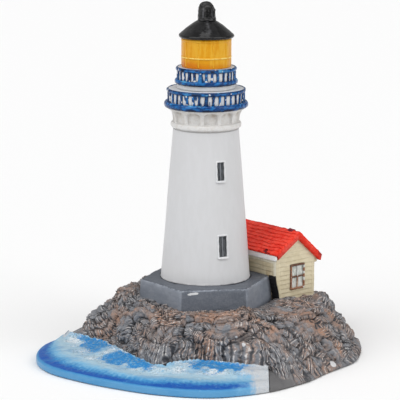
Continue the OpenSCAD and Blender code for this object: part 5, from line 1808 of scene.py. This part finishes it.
    def cap(self) -> None:
        """Makes the cap astride the ridge: half an ellipse over a flat belly, its ends rounded."""
        cx, cz = self.crown()
        y0, long, rise = self.vent
        t = np.linspace(0, 1, 26)[:, None]
        size = ends_rounded(np.minimum(t, 1 - t) / 0.12)
        a = angles(28)
        wide = 0.85 * (self.width + self.far_overhang - cx) / self.courses
        tall = np.where(np.sin(a) < 0, 0.6, self.step + rise + 0.35)
        p = self.out_there(cx + wide * np.cos(a) * size, y0 + long * t, cz - 0.35 + tall * np.sin(a) * size)
        shape = Shape()
        shape.grid(p + 0.08 * noise(p, 1.2, 143)[..., None])
        shape.build("ridge_cap", Paint.MAROON, "ridge_vent")

    def on_wall(self, wall: int, u: Array, v: Array, out: Array) -> Array:
        """Points on the gable (0), the far wall (1) or the back gable (2).

        Args:
            wall: The wall's number.
            u: Distances right of the window's middle.
            v: Heights.
            out: Distances out of the wall.

        Returns:
            The points.
        """
        if wall == 0:
            return self.out_there(self.frame_x + u, -out, v)
        if wall == 1:
            return self.out_there(self.width + out, self.length / 2 + u, v)
        return self.out_there(self.frame_x - u, self.length + out, v)

    def windows(self) -> None:
        """Makes the brown frames with their cross bars and the pale panes behind them."""
        fw, fh, fz = self.frame
        frames, panes = Shape(), Shape()
        middle = self.bed + fz + fh / 2
        path = rounded_rectangle((fw - self.timber) / 2, (fh - self.timber) / 2, 0.3, 150)
        c, s = section(12, 0.75)
        t = np.linspace(-1, 1, 30)
        flat, shares, front = tile(fw / 2 - 0.3, fh / 2 - 0.3, 0.25, 24)
        for wall in range(3):
            wide = self.timber / 2 * (1 + 0.2 * flat_noise(path, 1.1, 151 + wall))[:, None]
            u, v = carried(path, wide, c)
            v = middle + v
            smudge = ease((flat_noise(np.stack([u, v], -1), 1.2, 155) - 0.3 - 0.4 * (u < 2)) / 0.4)
            frames.ring(np.swapaxes(self.on_wall(wall, u, v, self.proud + 0.05 + 0.3 * s), 0, 1),
                        edge=0.5 * held(s)[:, None] * held(flat_noise(path, 1.3, 154)),
                        wash=0.6 * ease((path[:, 1] - fh / 2 + 1.4) / 0.6), dab=0.9 * smudge.T)
            lean = 0.12 * noise(np.stack([t * 3, t * 0, t * 0 + wall], -1), 1, 156)
            thick = self.timber * 0.42 * (1 + 0.25 * flat_noise(np.stack([t * 5, t * 0], -1), 1, 157))
            across = lean[:, None] + thick[:, None] * c
            for upright in (True, False):
                along = (t * ((fh if upright else fw) / 2 - 0.3))[:, None]
                u, v = (across, along) if upright else (along, across)
                frames.grid(self.on_wall(wall, u, middle + v, self.proud - 0.1 + 0.26 * s),
                            edge=0.1 + 0.5 * upright, wash=0.6 * (not upright),
                            dab=0.75 * upright * ease(v + 0.5))
            face = np.where(front, self.proud - 0.32 + 0.1 * flat_noise(flat, 1.3, 158 + wall), -0.7)
            bars = bell(np.abs(flat) - 0.55, 0.3).max(-1) * (flat_noise(flat, 1.2, 160) > 0.1)
            panes.grid(self.on_wall(wall, flat[..., 0], middle + flat[..., 1], face),
                       wash=held(0.5 * bars + 0.55 * ease((shares - 0.86) / 0.14)) * front)
        frames.build("cottage_frames", Paint.BROWN, "house_window_frames")
        panes.build("cottage_panes", Paint.PANE_PALE, "house_window_panes")

    def build(self) -> None:
        """Makes the cottage."""
        self.walls()
        self.roof()
        self.board()
        self.cap()
        self.windows()


# The studio


@dataclass
class Studio:
    """A pale floor, soft light and the camera at the photograph's angle."""

    elevation: float = 11.3
    distance: float = 827.0
    target: tuple[float, float, float] = (-2.25, 0.0, 60.5)
    lens: float = 189.0
    roll: float = 0.22
    sky: float = 0.4
    softness: float = 50.0
    lamps: tuple[tuple[str, float, float, float], ...] = (
        ("key", -58, 36, 1.2), ("fill", 60, 32, 1.1), ("top", -10, 66, 1.0))
    floor_half: float = 6.0

    def camera(self) -> None:
        """Places the camera."""
        a = math.radians(self.elevation)
        back = Vector((0, -math.cos(a), math.sin(a)))
        data = bpy.data.cameras.new("photo_camera")
        data.lens = self.lens
        data.sensor_width = 36.0
        data.clip_end = 30.0
        turn = (-back).to_track_quat("-Z", "Y").to_matrix().to_4x4()
        place = Matrix.Translation((Vector(self.target) + back * self.distance) * MM)
        camera = added("photo_camera", data)
        camera.matrix_world = place @ turn @ Matrix.Rotation(math.radians(self.roll), 4, "Z")
        bpy.context.scene.camera = camera

    def lamp(self, name: str, azimuth: float, height: float, power: float) -> None:
        """Adds a broad soft light.

        Args:
            name: The light's name.
            azimuth: Where it stands, in degrees from the front towards +X.
            height: How high it stands, in degrees.
            power: Its strength.
        """
        data = bpy.data.lights.new(name, "SUN")
        data.angle = math.radians(self.softness)
        data.energy = power
        toward = polar(azimuth, math.cos(math.radians(height)), math.sin(math.radians(height)))
        added(name, data).rotation_euler = Vector(toward).to_track_quat("Z", "Y").to_euler()

    def floor(self) -> None:
        """Lays the pale floor."""
        h = self.floor_half
        mesh = bpy.data.meshes.new("floor")
        mesh.from_pydata([(-h, -h, 0), (h, -h, 0), (h, h, 0), (-h, h, 0)], [], [(0, 1, 2, 3)])
        mesh.materials.append(Kit("floor_paper").finish((0.9, 0.9, 0.9), 0.9, shine=0.1))
        added("floor", mesh)

    def build(self) -> None:
        """Makes the floor, the light and the camera."""
        self.floor()
        world = bpy.data.worlds.new("studio")
        world.use_nodes = True
        background = world.node_tree.nodes["Background"]
        background.inputs["Color"].default_value = (1.0, 1.0, 1.0, 1.0)
        background.inputs["Strength"].default_value = self.sky
        bpy.context.scene.world = world
        for lamp in self.lamps:
            self.lamp(*lamp)
        self.camera()
        bpy.context.scene.view_settings.view_transform = "Standard"


def main() -> None:
    """Builds the studio and the figurine."""
    logging.basicConfig(level=logging.INFO, format="%(name)s: %(message)s")
    Studio().build()
    for piece in (Felt(), Rock(), Sea(), Plinth(), Tower(), Galleries(), Lantern(), Cottage()):
        piece.build()
        LOG.info("%s done", type(piece).__name__)


if __name__ == "__main__":
    main()
